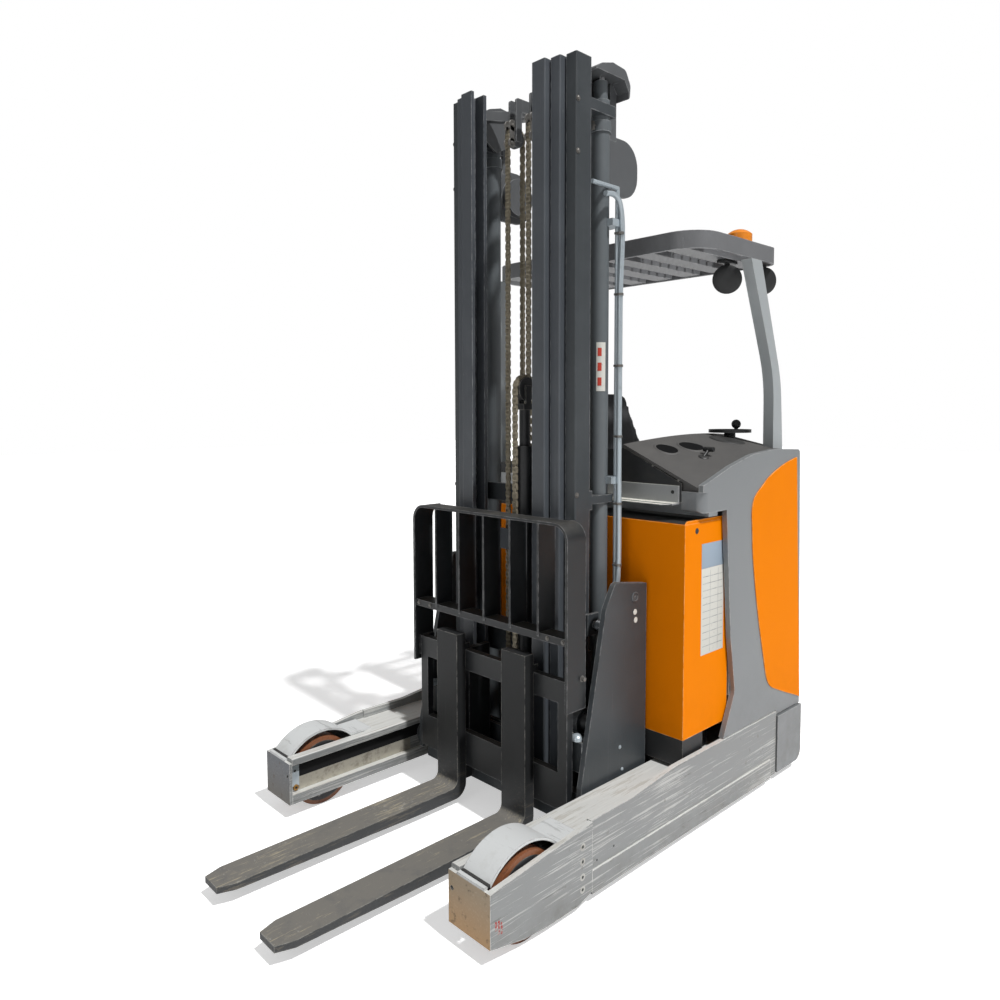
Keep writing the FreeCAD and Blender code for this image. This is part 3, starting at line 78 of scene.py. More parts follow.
def aim_camera(place, right, up, ahead):
    """Add a camera whose axes are given directly."""
    data = bpy.data.cameras.new("camera")
    data.lens, data.sensor_width = LENS_MM, SENSOR_MM
    data.shift_x, data.shift_y = SHIFT
    camera = bpy.data.objects.new("camera", data)
    bpy.context.scene.collection.objects.link(camera)
    axes = [Vector(right), Vector(up), -Vector(ahead)]
    camera.matrix_world = Matrix.Translation(place) @ Matrix(axes).transposed().to_4x4()
    bpy.context.scene.camera = camera
    return camera


camera = aim_camera(EYE, RIGHT, UPWARD, AHEAD)
print("camera at", [round(v, 2) for v in camera.location])

# %% [markdown]
# Everything from the floor to the seat cloth is coloured by nodes. Adding a node, setting its
# values and linking it takes three lines by hand, so these helpers do it in one: a value that is
# itself a socket is linked, and a plain number is set.

# %% Helpers for nodes
def node_tree(owner):
    """Start an empty node tree on a material or world."""
    owner.use_nodes = True
    owner.node_tree.nodes.clear()
    return owner.node_tree


def plug(tree, value, socket):
    """Link a socket to an input, or set the input to a plain value."""
    if isinstance(value, bpy.types.NodeSocket):
        tree.links.new(value, socket)
    else:
        socket.default_value = value


def add(tree, kind, **settings):
    """A node with its properties and inputs set by name; i0, i1, ... are inputs by number."""
    node = tree.nodes.new(kind)
    for key, value in settings.items():
        if key in node.bl_rna.properties:
            setattr(node, key, value)
        elif key[0] == "i" and key[1:].isdigit():
            plug(tree, value, node.inputs[int(key[1:])])
        else:
            plug(tree, value, node.inputs[key.replace("_", " ")])
    return node


def math_node(tree, operation, a, b=0.0, clamp=False):
    return add(tree, "ShaderNodeMath", operation=operation, use_clamp=clamp, i0=a, i1=b).outputs[0]


def ramp(tree, value, low, high):
    """Map low..high to 0..1, clamped."""
    return add(tree, "ShaderNodeMapRange", Value=value, From_Min=low, From_Max=high).outputs[0]


print("node helpers ready")

# %% [markdown]
# The truck stands on a bright studio floor. Lit by the lamps alone, a plane would come out light
# grey, so it glows a little for the camera. That keeps it white up to the horizon, and the truck's
# shadow still lies on it, because the glow lights nothing.

# %% Floor
FLOOR_HALF = 30
FLOOR_GREY = (0.8, 0.8, 0.8, 1)
FLOOR_GLOW = 0.5


def lay_floor():
    mesh = bpy.data.meshes.new("floor")
    s = FLOOR_HALF
    mesh.from_pydata([(-s, -s, 0), (s, -s, 0), (s, s, 0), (-s, s, 0)], [], [(0, 1, 2, 3)])
    floor = bpy.data.objects.new("floor", mesh)
    bpy.context.scene.collection.objects.link(floor)
    material = bpy.data.materials.new("floor_paint")
    tree = node_tree(material)
    paint = add(tree, "ShaderNodeBsdfPrincipled", Base_Color=FLOOR_GREY, Roughness=0.9)
    rays = add(tree, "ShaderNodeLightPath")
    glow = add(tree, "ShaderNodeEmission",
               Strength=math_node(tree, "MULTIPLY", rays.outputs["Is Camera Ray"], FLOOR_GLOW))
    both = add(tree, "ShaderNodeAddShader", i0=paint.outputs[0], i1=glow.outputs[0])
    add(tree, "ShaderNodeOutputMaterial", Surface=both.outputs[0])
    mesh.materials.append(material)
    return floor


print("laid", lay_floor().name, "with a half width of", FLOOR_HALF)

# %% [markdown]
# One strong lamp is high on the truck's left, so the left faces are light, the faces toward the
# forks lie in shade and the mast throws a sharp shadow on the far arm. A sun does the same here,
# and a wide soft lamp opens the shade. The world is a dim fill, and white where the camera sees it.

# %% Lamps and world
WORLD_FILL, SUN_POWER, FRONT_POWER = 0.31, 3.9, 38


def hang(data, place, target=(0, 0, 0)):
    """Hang a lamp at a place and turn it toward a target."""
    lamp = bpy.data.objects.new(data.name, data)
    bpy.context.scene.collection.objects.link(lamp)
    lamp.location = place
    lamp.rotation_euler = (Vector(target) - Vector(place)).to_track_quat("-Z", "Y").to_euler()


def light_world(strength):
    """A dim fill for the truck, and plain white for the camera."""
    world = bpy.data.worlds.new("studio")
    bpy.context.scene.world = world
    tree = node_tree(world)
    fill = add(tree, "ShaderNodeBackground", Strength=strength)
    white = add(tree, "ShaderNodeBackground", Color=(1, 1, 1, 1))
    rays = add(tree, "ShaderNodeLightPath").outputs
    seen = math_node(tree, "MAXIMUM", rays["Is Camera Ray"], rays["Is Transmission Ray"])
    mix = add(tree, "ShaderNodeMixShader", i0=seen, i1=fill.outputs[0], i2=white.outputs[0])
    add(tree, "ShaderNodeOutputWorld", Surface=mix.outputs[0])


light_world(WORLD_FILL)
key = bpy.data.lights.new("key", "SUN")
key.energy, key.angle = SUN_POWER, math.radians(2.5)
hang(key, (0.1, 3.0, 5.0))
front = bpy.data.lights.new("front", "AREA")
front.shape, front.size, front.energy = "DISK", 3.0, FRONT_POWER
hang(front, (6.5, 1.0, 3.5), (0.3, 0, 1.2))
bpy.context.scene.view_settings.view_transform = "Standard"

# %% [markdown]
# Effects that many finishes share are built once as node groups. A group has named inputs and puts
# out a mask or a height, and each finish mixes it in with its own strength. Nearly all of them
# start from noise laid in the solid's own space, so that it stays on the solid as it moves.

# %% Helpers for node groups
def start_group(name, inputs, output="Mask"):
    """A node group with float inputs {name: default}, one output, and its two end nodes."""
    group = bpy.data.node_groups.new(name, "ShaderNodeTree")
    for label, default in inputs.items():
        socket = group.interface.new_socket(label, in_out="INPUT", socket_type="NodeSocketFloat")
        socket.default_value = default
    group.interface.new_socket(output, in_out="OUTPUT", socket_type="NodeSocketFloat")
    entry, exit_ = group.nodes.new("NodeGroupInput"), group.nodes.new("NodeGroupOutput")
    return group, entry.outputs, exit_.inputs[output]


def object_place(tree):
    return add(tree, "ShaderNodeTexCoord").outputs["Object"]


def noise(tree, scale, detail, rough=0.5, place=None):
    return add(tree, "ShaderNodeTexNoise", Vector=place or object_place(tree), Scale=scale,
               Detail=detail, Roughness=rough).outputs[0]


def surface(tree, output, part=None):
    """The surface's normal or position, whole or as one of its X, Y and Z parts."""
    value = add(tree, "ShaderNodeNewGeometry").outputs[output]
    return add(tree, "ShaderNodeSeparateXYZ", Vector=value).outputs[part] if part else value


def dot(tree, a, b):
    return add(tree, "ShaderNodeVectorMath", operation="DOT_PRODUCT", i0=a, i1=b).outputs["Value"]


print("group helpers ready")

# %% [markdown]
# Blotches are soft patches of grime or worn paint: noise cut at a level that the cover sets.
# Scratches are thin and straight. Drawing each one would take thousands of strokes, so noise is
# stretched a lot along one axis and then cut, with a slow second noise that thins them in places.

# %% Blotches and scratches
def make_blotches():
    group, given, mask = start_group("blotches", {"Scale": 6.0, "Cover": 0.5, "Soft": 0.15})
    edge = math_node(group, "SUBTRACT", 1.0, given["Cover"])
    high = math_node(group, "ADD", edge, given["Soft"])
    group.links.new(ramp(group, noise(group, given["Scale"], 8.0, 0.68), edge, high), mask)
    return group.name


def make_scratches():
    group, given, mask = start_group("scratches", {"Along X": 1.0, "Along Y": 1.0, "Along Z": 1.0,
                                                   "Cover": 0.3})
    place = object_place(group)
    stretch = add(group, "ShaderNodeCombineXYZ", X=given["Along X"], Y=given["Along Y"],
                  Z=given["Along Z"])
    scaled = add(group, "ShaderNodeVectorMath", operation="MULTIPLY", i0=place, i1=stretch.outputs[0])
    fine = noise(group, 1.0, 6.0, 0.75, scaled.outputs[0])
    thinning = add(group, "ShaderNodeMath", operation="MULTIPLY_ADD",
                   i0=noise(group, 3.0, 3.0, place=place), i1=0.35, i2=-0.17)
    total = math_node(group, "ADD", fine, thinning.outputs[0])
    edge = math_node(group, "SUBTRACT", 0.78, math_node(group, "MULTIPLY", given["Cover"], 0.3))
    group.links.new(ramp(group, total, edge, math_node(group, "ADD", edge, 0.06)), mask)
    return group.name


print("made", make_blotches(), "and", make_scratches())

# %% [markdown]
# Dust lies on faces that look up, and road grime gathers toward the floor, so both masks come from
# the surface itself and noise only breaks them up. Grain is no mask but a fine height, for moulded
# plastic, the orange peel of paint and cast iron.

# %% Dust, grime and grain
def make_dust():
    group, given, mask = start_group("dust", {"Amount": 0.5, "Scale": 9.0})
    up = ramp(group, surface(group, "Normal", "Z"), 0.25, 0.95)
    broken = math_node(group, "MULTIPLY", up,
                       ramp(group, noise(group, given["Scale"], 7.0, 0.7), 0.3, 0.7))
    group.links.new(math_node(group, "MULTIPLY", broken, given["Amount"], True), mask)
    return group.name


def make_low_dirt():
    group, given, mask = start_group("low_dirt", {"Height": 0.3, "Scale": 12.0})
    low = ramp(group, surface(group, "Position", "Z"), given["Height"], 0.0)
    blots = ramp(group, noise(group, given["Scale"], 8.0, 0.7), 0.35, 0.7)
    group.links.new(math_node(group, "MULTIPLY", low, blots, True), mask)
    return group.name


def make_grain():
    group, given, height = start_group("grain", {"Scale": 400.0, "Rough": 0.5}, "Height")
    group.links.new(noise(group, given["Scale"], 3.0, given["Rough"]), height)
    return group.name


print("made", make_dust(), make_low_dirt(), make_grain())

# %% [markdown]
# Some wear is only on one side, such as the tops that boots and pallets rub, or only low down on
# the forks, and some painted light is only on one side too, such as a highlight on a top or shade
# on a front. A facing mask compares the surface's normal with a direction, and a band mask compares
# its height with two heights. Edges are where paint is knocked off first and where a painted
# highlight is laid: a bevel node rounds the normal there, and the difference from the true normal
# shows where an edge is.

# %% Facing, band and edges
def make_facing():
    group, given, mask = start_group("facing", {"X": 0.0, "Y": 0.0, "Z": 1.0})
    way = add(group, "ShaderNodeCombineXYZ", X=given["X"], Y=given["Y"], Z=given["Z"])
    alike = dot(group, surface(group, "Normal"), way.outputs[0])
    group.links.new(ramp(group, alike, 0.55, 0.9), mask)
    return group.name


def make_band():
    group, given, mask = start_group("band", {"Full": 0.1, "None": 0.3})
    height = surface(group, "Position", "Z")
    group.links.new(ramp(group, height, given["None"], given["Full"]), mask)
    return group.name


def make_edges():
    group, given, mask = start_group("edges", {"Scale": 30.0, "Low": 0.02})
    soft = add(group, "ShaderNodeBevel", samples=8, Radius=0.006)
    bend = math_node(group, "SUBTRACT", 1.0, dot(group, surface(group, "Normal"), soft.outputs[0]))
    # Pale edges: partly knocked-off paint, partly a painted highlight along each edge.
    edge_wear_and_highlight = ramp(group, bend, given["Low"], 0.14)
    chips = ramp(group, noise(group, given["Scale"], 6.0, 0.7), 0.38, 0.58)
    group.links.new(math_node(group, "MULTIPLY", edge_wear_and_highlight, chips, True), mask)
    return group.name


print("made", make_facing(), make_band(), make_edges())

# %% [markdown]
# A finish is one Principled BSDF. Its colour starts from the paint and is mixed, layer by layer,
# with what lies on it or shows through: grime, scratches and dust. Each layer changes the
# roughness too, because bare or dirty metal doesn't shine like fresh paint.

# %% Finish builder
def tone(red, green, blue):
    """A colour from 0..255 screen values to the linear values that nodes take."""
    def linear(v):
        v /= 255
        return v / 12.92 if v <= 0.04045 else ((v + 0.055) / 1.055) ** 2.4
    return tuple(round(linear(v), 4) for v in (red, green, blue))


def lighter(colour, step, keep=1):
    """A screen colour moved up by a step, after keeping a share of it."""
    return [c * keep + step for c in colour]


class Finish:
    """A material that grows by layers."""

    def __init__(self, name, colour, rough, metal=0.0, coat=0.0, specular=0.5):
        self.material = bpy.data.materials.new(name)
        self.tree = node_tree(self.material)
        self.bsdf = add(self.tree, "ShaderNodeBsdfPrincipled", Metallic=metal, Coat_Weight=coat,
                        Specular_IOR_Level=specular)
        add(self.tree, "ShaderNodeOutputMaterial", Surface=self.bsdf.outputs[0])
        self.colour, self.rough, self.height = (*tone(*colour), 1.0), rough, None

    def effect(self, name, along=None, **values):
        """The output of a shared effect; along gives the scratches' three scales."""
        node = add(self.tree, "ShaderNodeGroup")
        node.node_tree = bpy.data.node_groups[name]
        for axis, scale in zip("XYZ", along or ()):
            node.inputs["Along " + axis].default_value = scale
        for label, value in values.items():
            node.inputs[label.strip("_")].default_value = value
        return node.outputs[0]

    def layer(self, mask, colour, rough, strength=1.0):
        """Lay a colour and a roughness over what is there, where the mask is high."""
        mask = math_node(self.tree, "MULTIPLY", mask, strength, True)
        mix = add(self.tree, "ShaderNodeMix", data_type="RGBA", i0=mask, i6=self.colour,
                  i7=(*tone(*colour), 1.0))
        blend = add(self.tree, "ShaderNodeMix", data_type="FLOAT", i0=mask, i2=self.rough, i3=rough)
        self.colour, self.rough = mix.outputs[2], blend.outputs[0]

    def over(self, name, colour, rough, strength=1.0, within=None, **values):
        """Lay a colour where a shared effect is high, and within another mask if one is given."""
        mask = self.effect(name, **values)
        if within is not None:
            mask = self.both(within, mask)
        self.layer(mask, colour, rough, strength)

    def both(self, mask, other):
        """Where two masks are high at once."""
        return math_node(self.tree, "MULTIPLY", mask, other)

    def bump(self, height, depth):
        """Depth in metres for a height from 0 to 1."""
        self.height = add(self.tree, "ShaderNodeBump", Distance=depth, Strength=1.0,
                          Height=height).outputs[0]

    def grain(self, scale, depth, rough=0.5):
        self.bump(self.effect("grain", Scale=scale, Rough=rough), depth)

    def done(self):
        plug(self.tree, self.colour, self.bsdf.inputs["Base Color"])
        plug(self.tree, self.rough, self.bsdf.inputs["Roughness"])
        if self.height is not None:
            plug(self.tree, self.height, self.bsdf.inputs["Normal"])
        return self.material


print("white is", tone(255, 255, 255))

# %% [markdown]
# The mast is rolled steel under thin anthracite paint. Rollers, chains and dust leave it streaked
# from top to bottom, and the lighter streaks are partly a painted sheen as well. Streaks drawn flat
# would end at each solid's edge, so here they are worked out in the solid's own space, as scratches
# stretched along Z. The same recipe with other colours paints the guard and the heads.

# %% Mast paint
def mast_paint(name="mast_paint", colour=(54, 58, 61), dusty=0.3):
    f = Finish(name, colour, 0.42)
    f.over("blotches", lighter(colour, 14), 0.52, 0.45, Scale=3.5, Cover=0.52, Soft=0.2)
    # Lighter streaks along Z: partly wear, partly a painted sheen.
    f.over("scratches", lighter(colour, 32), 0.5, 0.45, along=(160.0, 160.0, 1.6), Cover=0.45)
    f.over("scratches", lighter(colour, 50), 0.45, 0.4, along=(30.0, 30.0, 60.0), Cover=0.15)
    f.over("dust", (128, 122, 112), 0.85, Amount=dusty)
    f.over("scratches", lighter(colour, 100, 0.4), 0.5, 0.35, along=(22.0, 50.0, 34.0), Cover=0.3)
    f.over("edges", lighter(colour, 126, 0.4), 0.4, 0.7)
    f.grain(260.0, 0.00012)
    return f.done()


print("mast paint ready")

# %% [markdown]
# The body's sheet metal has a smoother grey lacquer with a little metal in it. It gets soft
# patches, small dark specks and grime low down, and its edges are pale, partly rubbed and partly
# a painted highlight.

# %% Body paint
def body_paint(name="body_paint", colour=(122, 125, 127)):
    f = Finish(name, colour, 0.36, metal=0.25, coat=0.15)
    f.over("blotches", lighter(colour, 12), 0.42, 0.5, Scale=2.2, Cover=0.5, Soft=0.35)
    f.over("blotches", lighter(colour, -24), 0.6, 0.3, Scale=40.0, Cover=0.36, Soft=0.05)
    f.over("scratches", lighter(colour, 45), 0.5, 0.35, along=(8.0, 90.0, 120.0), Cover=0.25)
    f.over("low_dirt", (92, 88, 80), 0.8, 0.4, Height=0.55)
    f.over("edges", (206, 206, 204), 0.4, 0.5)
    f.grain(520.0, 0.00015)
    return f.done()


print("body paint ready")

# %% [markdown]
# The load arms are thick plate in silver paint. Pallets and kerbs drag along them, so they are
# rubbed bare in long level streaks. Their tops are painted near-white: partly rub wear from boots
# and partly a painted highlight for the sun on them. The right nose's front is painted dark as
# painted shade, and the left one's takes a brownish tint that grows yellower toward the floor, so
# each front takes a colour of its own.

# %% Arm and fender paint
def arm_paint(name="arm_paint", front=None):
    f = Finish(name, (134, 136, 136), 0.42, metal=0.3)
    f.over("blotches", (152, 153, 151), 0.5, 0.6, Scale=3.0, Cover=0.5, Soft=0.3)
    f.over("scratches", (200, 200, 197), 0.38, 0.6, along=(3.0, 110.0, 150.0), Cover=0.75)
    f.over("scratches", (92, 91, 89), 0.55, 0.6, along=(5.0, 70.0, 60.0), Cover=0.5)
    f.over("scratches", (84, 82, 78), 0.6, 0.6, along=(60.0, 90.0, 60.0), Cover=0.35)
    f.over("blotches", (108, 103, 94), 0.7, 0.4, Scale=26.0, Cover=0.37, Soft=0.05)
    f.over("low_dirt", (86, 80, 70), 0.85, 0.5, Height=0.14)
    f.over("edges", (216, 215, 210), 0.4, 0.7)
    # Tops: a near-white layer, partly rub wear and partly a painted highlight for the sun.
    top = f.effect("facing", Z=1.0)
    f.layer(top, (224, 224, 220), 0.5, 0.75)
    f.over("scratches", (168, 163, 152), 0.6, 0.55, within=top, along=(4.0, 60.0, 60.0), Cover=0.7)
    # A front colour per nose: painted shade on the right one, a brownish tint on the left one.
    if front:
        face = f.effect("facing", X=1.0, Z=0.0)
        f.layer(face, front, 0.5, 0.75)
        low_front_tint = [front[0] * 1.2, front[1] * 1.02, front[2] * 0.72]
        f.over("band", low_front_tint, 0.55, 0.6, within=face, Full=0.03, None_=0.2)
        f.over("blotches", (92, 80, 62), 0.7, 0.6, within=face, Scale=30.0, Cover=0.42, Soft=0.08)
    f.grain(180.0, 0.0002)
    return f.done()


def fender_paint():
    f = Finish("fender_paint", (194, 196, 196), 0.45, metal=0.1)
    f.over("scratches", (140, 141, 140), 0.55, 0.6, along=(40.0, 5.0, 40.0), Cover=0.65)
    f.over("blotches", (164, 163, 158), 0.55, 0.6, Scale=7.0, Cover=0.46, Soft=0.2)
    f.over("edges", (120, 120, 118), 0.5, 0.6)
    f.over("blotches", (196, 197, 197), 0.5, 0.6, Scale=18.0, Cover=0.42, Soft=0.15)
    f.grain(240.0, 0.00015)
    return f.done()


print("arm and fender paint ready")

# %% [markdown]
# The battery box and the panels are orange. A glossy coat would mirror the white studio and wash
# the colour out, so the paint is nearly matt, with faint patches, specks and pale edges.

# %% Orange paint
def orange_paint():
    f = Finish("orange_paint", (224, 122, 0), 0.6, specular=0.04)
    f.over("blotches", (214, 114, 0), 0.6, 0.5, Scale=2.5, Cover=0.5, Soft=0.4)
    f.over("blotches", (160, 82, 0), 0.7, 0.3, Scale=55.0, Cover=0.3, Soft=0.04)
    f.over("scratches", (236, 140, 12), 0.6, 0.3, along=(90.0, 90.0, 6.0), Cover=0.12)
    f.over("low_dirt", (136, 78, 6), 0.7, 0.3, Height=0.6)
    f.over("edges", (246, 196, 130), 0.5, 0.6)
    return f.done()


print("orange paint ready")

# %% [markdown]
# Forks are dark rolled steel. Pallets rub the blades, and most of all their tops, so the wear is
# laid in three steps: over the whole fork, low down on it, and on what looks up. The lighter
# streaks along Z over the whole fork are partly a painted sheen on the shanks.

# %% Fork steel
def fork_steel():
    f = Finish("fork_steel", (38, 39, 40), 0.46, metal=0.2, specular=0.35)
    # Lighter streaks along Z: partly wear, partly a painted sheen on the shanks.
    f.over("scratches", (62, 63, 65), 0.42, 0.5, along=(90.0, 90.0, 1.2), Cover=0.5)
    blade = f.effect("band", Full=0.09, None_=0.24)
    f.layer(blade, (66, 67, 68), 0.5, 0.8)
    f.over("scratches", (104, 98, 88), 0.5, 0.6, within=blade, along=(6.0, 60.0, 90.0), Cover=0.6)
    top = f.both(blade, f.effect("facing", X=0.35, Z=0.94))
    f.layer(top, (122, 119, 113), 0.5, 0.85)
    f.over("blotches", (98, 98, 98), 0.5, 0.7, within=top, Scale=16.0, Cover=0.48, Soft=0.2)
    f.over("scratches", (176, 166, 142), 0.4, 0.6, within=top, along=(9.0, 120.0, 90.0), Cover=0.6)
    f.over("scratches", (170, 168, 162), 0.4, 0.5, within=top, along=(70.0, 50.0, 50.0), Cover=0.45)
    f.over("edges", (150, 148, 142), 0.4, 0.7)
    f.grain(120.0, 0.0004, 0.7)
    return f.done()


print("fork steel ready")

# %% [markdown]
# Small parts are bare worn steel, zinc plate, chrome, dark painted steel or aluminium. They differ
# in colour, in how metallic they are and in how much grime breaks their shine up.

# %% Bare and plated metal
def worn_steel(name="worn_steel", colour=(112, 110, 107)):
    f = Finish(name, colour, 0.42, metal=0.5)
    f.over("blotches", (86, 78, 68), 0.6, 0.6, Scale=30.0, Cover=0.5, Soft=0.2)
    f.over("scratches", (168, 165, 160), 0.35, 0.5, along=(60.0, 60.0, 8.0), Cover=0.5)
    f.grain(200.0, 0.0003, 0.7)
    return f.done()


def zinc():
    f = Finish("zinc", (178, 188, 194), 0.3, metal=0.45)
    f.over("blotches", (140, 148, 152), 0.4, 0.6, Scale=40.0, Cover=0.46, Soft=0.2)
    return f.done()


def chrome_rod():
    f = Finish("chrome_rod", (205, 206, 208), 0.16, metal=1.0)
    f.over("blotches", (150, 146, 138), 0.35, 0.5, Scale=20.0, Cover=0.42, Soft=0.2)
    return f.done()


def dark_steel():
    f = Finish("dark_steel", (36, 37, 39), 0.5, metal=0.1)
    f.over("blotches", (58, 56, 54), 0.65, 0.5, Scale=7.0, Cover=0.5, Soft=0.25)
    f.over("dust", (110, 104, 96), 0.85, Amount=0.4)
    f.over("edges", (134, 132, 126), 0.45, 0.6)
    f.grain(220.0, 0.0002)
    return f.done()


def aluminium():
    f = Finish("aluminium", (150, 152, 154), 0.4, metal=0.3)
    f.over("scratches", (150, 150, 150), 0.45, 0.5, along=(90.0, 3.0, 120.0), Cover=0.5)
    f.over("blotches", (120, 116, 110), 0.6, 0.3, Scale=24.0, Cover=0.4, Soft=0.1)
    # Faces that look up are painted near-white: a painted highlight for the sunlit shelf tray.
    f.over("facing", (240, 238, 226), 0.6, 0.8, Z=1.0)
    f.over("edges", (216, 216, 212), 0.4, 0.6)
    return f.done()


print("metal finishes ready")

# %% [markdown]
# The load wheels wear a cast band of brown polyurethane, the dash and the handles are moulded
# plastic, and the seat has coated cloth. A fine height grain tells the plastics from paint, and
# two crossed waves make the cloth's weave. The beacon's lens has ribs from one wave.

# %% Plastic, rubber and cloth
def wheel_plastic():
    f = Finish("wheel_plastic", (122, 74, 46), 0.5)
    f.over("blotches", (92, 62, 44), 0.65, 0.6, Scale=14.0, Cover=0.5, Soft=0.2)
    f.over("blotches", (60, 48, 40), 0.8, 0.5, Scale=70.0, Cover=0.42, Soft=0.06)
    f.grain(150.0, 0.0004)
    return f.done()


def dash_plastic(name="dash_plastic", colour=(70, 69, 68)):
    f = Finish(name, colour, 0.55)
    f.over("blotches", (84, 82, 80), 0.65, 0.4, Scale=8.0, Cover=0.5, Soft=0.3)
    f.over("dust", (120, 116, 110), 0.85, Amount=0.12)
    f.grain(700.0, 0.0004, 0.8)
    return f.done()


def black_plastic():
    f = Finish("black_plastic", (30, 31, 32), 0.45)
    f.over("blotches", (44, 44, 45), 0.6, 0.5, Scale=10.0, Cover=0.5, Soft=0.3)
    f.over("dust", (96, 93, 88), 0.85, Amount=0.25)
    f.grain(600.0, 0.0003, 0.8)
    return f.done()


def seat_cloth():
    f = Finish("seat_cloth", (42, 43, 46), 0.8)
    place = object_place(f.tree)
    warp = add(f.tree, "ShaderNodeTexWave", Vector=place, Scale=160.0, bands_direction="X")
    weft = add(f.tree, "ShaderNodeTexWave", Vector=place, Scale=160.0, bands_direction="Z")
    weave = math_node(f.tree, "MULTIPLY", warp.outputs[1], weft.outputs[1])
    f.layer(weave, (60, 61, 64), 0.85, 0.5)
    f.over("blotches", (56, 54, 52), 0.85, 0.4, Scale=6.0, Cover=0.5, Soft=0.3)
    f.bump(weave, 0.0005)
    return f.done()


def amber_lens():
    f = Finish("amber_lens", (226, 128, 6), 0.3, coat=0.3)
    ribs = add(f.tree, "ShaderNodeTexWave", bands_direction="Z", Scale=60.0,
               Vector=object_place(f.tree)).outputs[1]
    f.layer(ribs, (240, 150, 24), 0.3, 0.4)
    f.bump(ribs, 0.0004)
    return f.done()


print("plastics and cloth ready")

# %% [markdown]
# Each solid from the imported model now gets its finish, and a small bevel that catches the light
# as a real rolled or cut edge does. The bevel is a modifier, so the solid's own mesh stays as it is.

# %% Dress the solids
FINISHES = {
    "arm_paint": (arm_paint(), "arm_left arm_right"),
    "left_nose_paint": (arm_paint("left_nose_paint", (158, 136, 104)), "arm_nose_left"),
    # The right nose's front colour is painted shade.
    "right_nose_painted_shade": (arm_paint("right_nose_painted_shade", (84, 88, 96)), "arm_nose_right"),
    "fender_paint": (fender_paint(), "load_wheel_fenders"),
    "mast_paint": (mast_paint(), "mast_outer reach_carriage"),
    "inner_paint": (mast_paint("inner_paint", (68, 72, 77), 0.3), "mast_middle mast_inner"),
    "head_paint": (mast_paint("head_paint", (82, 84, 86), 0.2), "mast_head hose_cover"),
    "cylinder_paint": (mast_paint("cylinder_paint", (88, 93, 96), 0.1), "lift_cylinders"),
    "carriage_paint": (mast_paint("carriage_paint", (26, 28, 30), 0.25),
                       "fork_carriage load_backrest free_lift_cylinder"),
    "body_paint": (body_paint(), "rear_skirt body_shell"),
    "pillar_paint": (body_paint("pillar_paint", (166, 171, 173)), "guard_pillars"),
    "guard_paint": (mast_paint("guard_paint", (100, 101, 103), 0.3), "guard_roof"),
    "orange_paint": (orange_paint(), "battery_box side_panel rear_panel"),
    "fork_steel": (fork_steel(), "forks"),
    "worn_steel": (worn_steel(), "load_hub_left load_hub_right drive_hub"),
    "chrome_rod": (chrome_rod(), "lift_rods reach_rod tilt_rods"),
    "dark_steel": (dark_steel(), "chassis_frame steer_gearcase battery_tray drive_motor cabin_floor "
                   "seat_pedestal seat_bracket dash_front tilt_barrels reach_barrel free_lift_head"),
    "chain_steel": (worn_steel("chain_steel", (150, 142, 124)), "lift_chains carriage_chains"),
    "zinc": (zinc(), "mast_pipes"),
    "aluminium": (aluminium(), "dash_shelf"),
    "wheel_plastic": (wheel_plastic(), "load_tyre_left load_tyre_right drive_tyre"),
    "dash_plastic": (dash_plastic(), "dash_cover"),
    "black_plastic": (black_plastic(), "operator_controls"),
    "seat_cloth": (seat_cloth(), "seat_cushion seat_backrest"),
    "amber_lens": (amber_lens(), "beacon"),
}


def finish(name):
    return FINISHES[name][0]


def round_edges(solid, width=0.0018):
    bevel = solid.modifiers.new("edges", "BEVEL")
    bevel.width, bevel.segments, bevel.limit_method = width, 2, "ANGLE"
    bevel.angle_limit = math.radians(35)
    bevel.harden_normals = True


for material, names in FINISHES.values():
    for name in names.split():
        for slot in nodes[name].material_slots:
            slot.material = material
        round_edges(nodes[name])
print("dressed:", sum(len(names.split()) for _, names in FINISHES.values()), "of", len(nodes))

# %% [markdown]
# Bolts, caps, pipes, labels and chain plates are left to this lesson, because they are small
# beside the truck and carry no load in the model. Each is turned, bevelled or swept in code, set on
# the solid that it belongs to and tied to that solid's body, so it moves with the mast or the forks.

# %% Helpers for detail pieces
REAR = cad_box[0][0]


def at(x, y, z):
    """A place given in millimetres from the truck's rear face, centre line and floor."""
    return Vector((x / 1000 + REAR, y / 1000, z / 1000))


UP = Vector((0, 0, 1))
TURN = {"x": Matrix.Rotation(math.radians(90), 3, "Y"), "z": Matrix.Identity(3),
        "y": Matrix.Rotation(math.radians(-90), 3, "X")}


def skin(bm, rings):
    """Walls between each ring of corners and the next, and a cap on each end."""
    for low, high in zip(rings, rings[1:]):
        for i in range(len(low)):
            j = (i + 1) % len(low)
            bm.faces.new((low[i], low[j], high[j], high[i]))
    bm.faces.new(list(reversed(rings[0])))
    bm.faces.new(rings[-1])


def lathe(bm, profile, centre, axis="z", steps=24):
    """Turn a profile of (radius, height) in millimetres round an axis through the centre."""
    turn = TURN.get(axis) if isinstance(axis, str) else UP.rotation_difference(axis).to_matrix()
    angles = [2 * math.pi * i / steps for i in range(steps)]
    rings = []
    for r, height in profile:
        rings.append([bm.verts.new(centre + turn @ Vector((r * math.cos(a), r * math.sin(a), height)) / 1000)
                      for a in angles])
    skin(bm, rings)


def slab(bm, low, high, edge=1.5):
    """A box with bevelled edges between two corners."""
    middle, size = (low + high) / 2, high - low
    place = Matrix.Translation(middle) @ Matrix.Diagonal((*size, 1))
    made = bmesh.ops.create_cube(bm, size=1.0, matrix=place)
    edges = {e for v in made["verts"] for e in v.link_edges}
    bmesh.ops.bevel(bm, geom=list(edges), offset=edge / 1000, segments=2, affect="EDGES", profile=0.6)


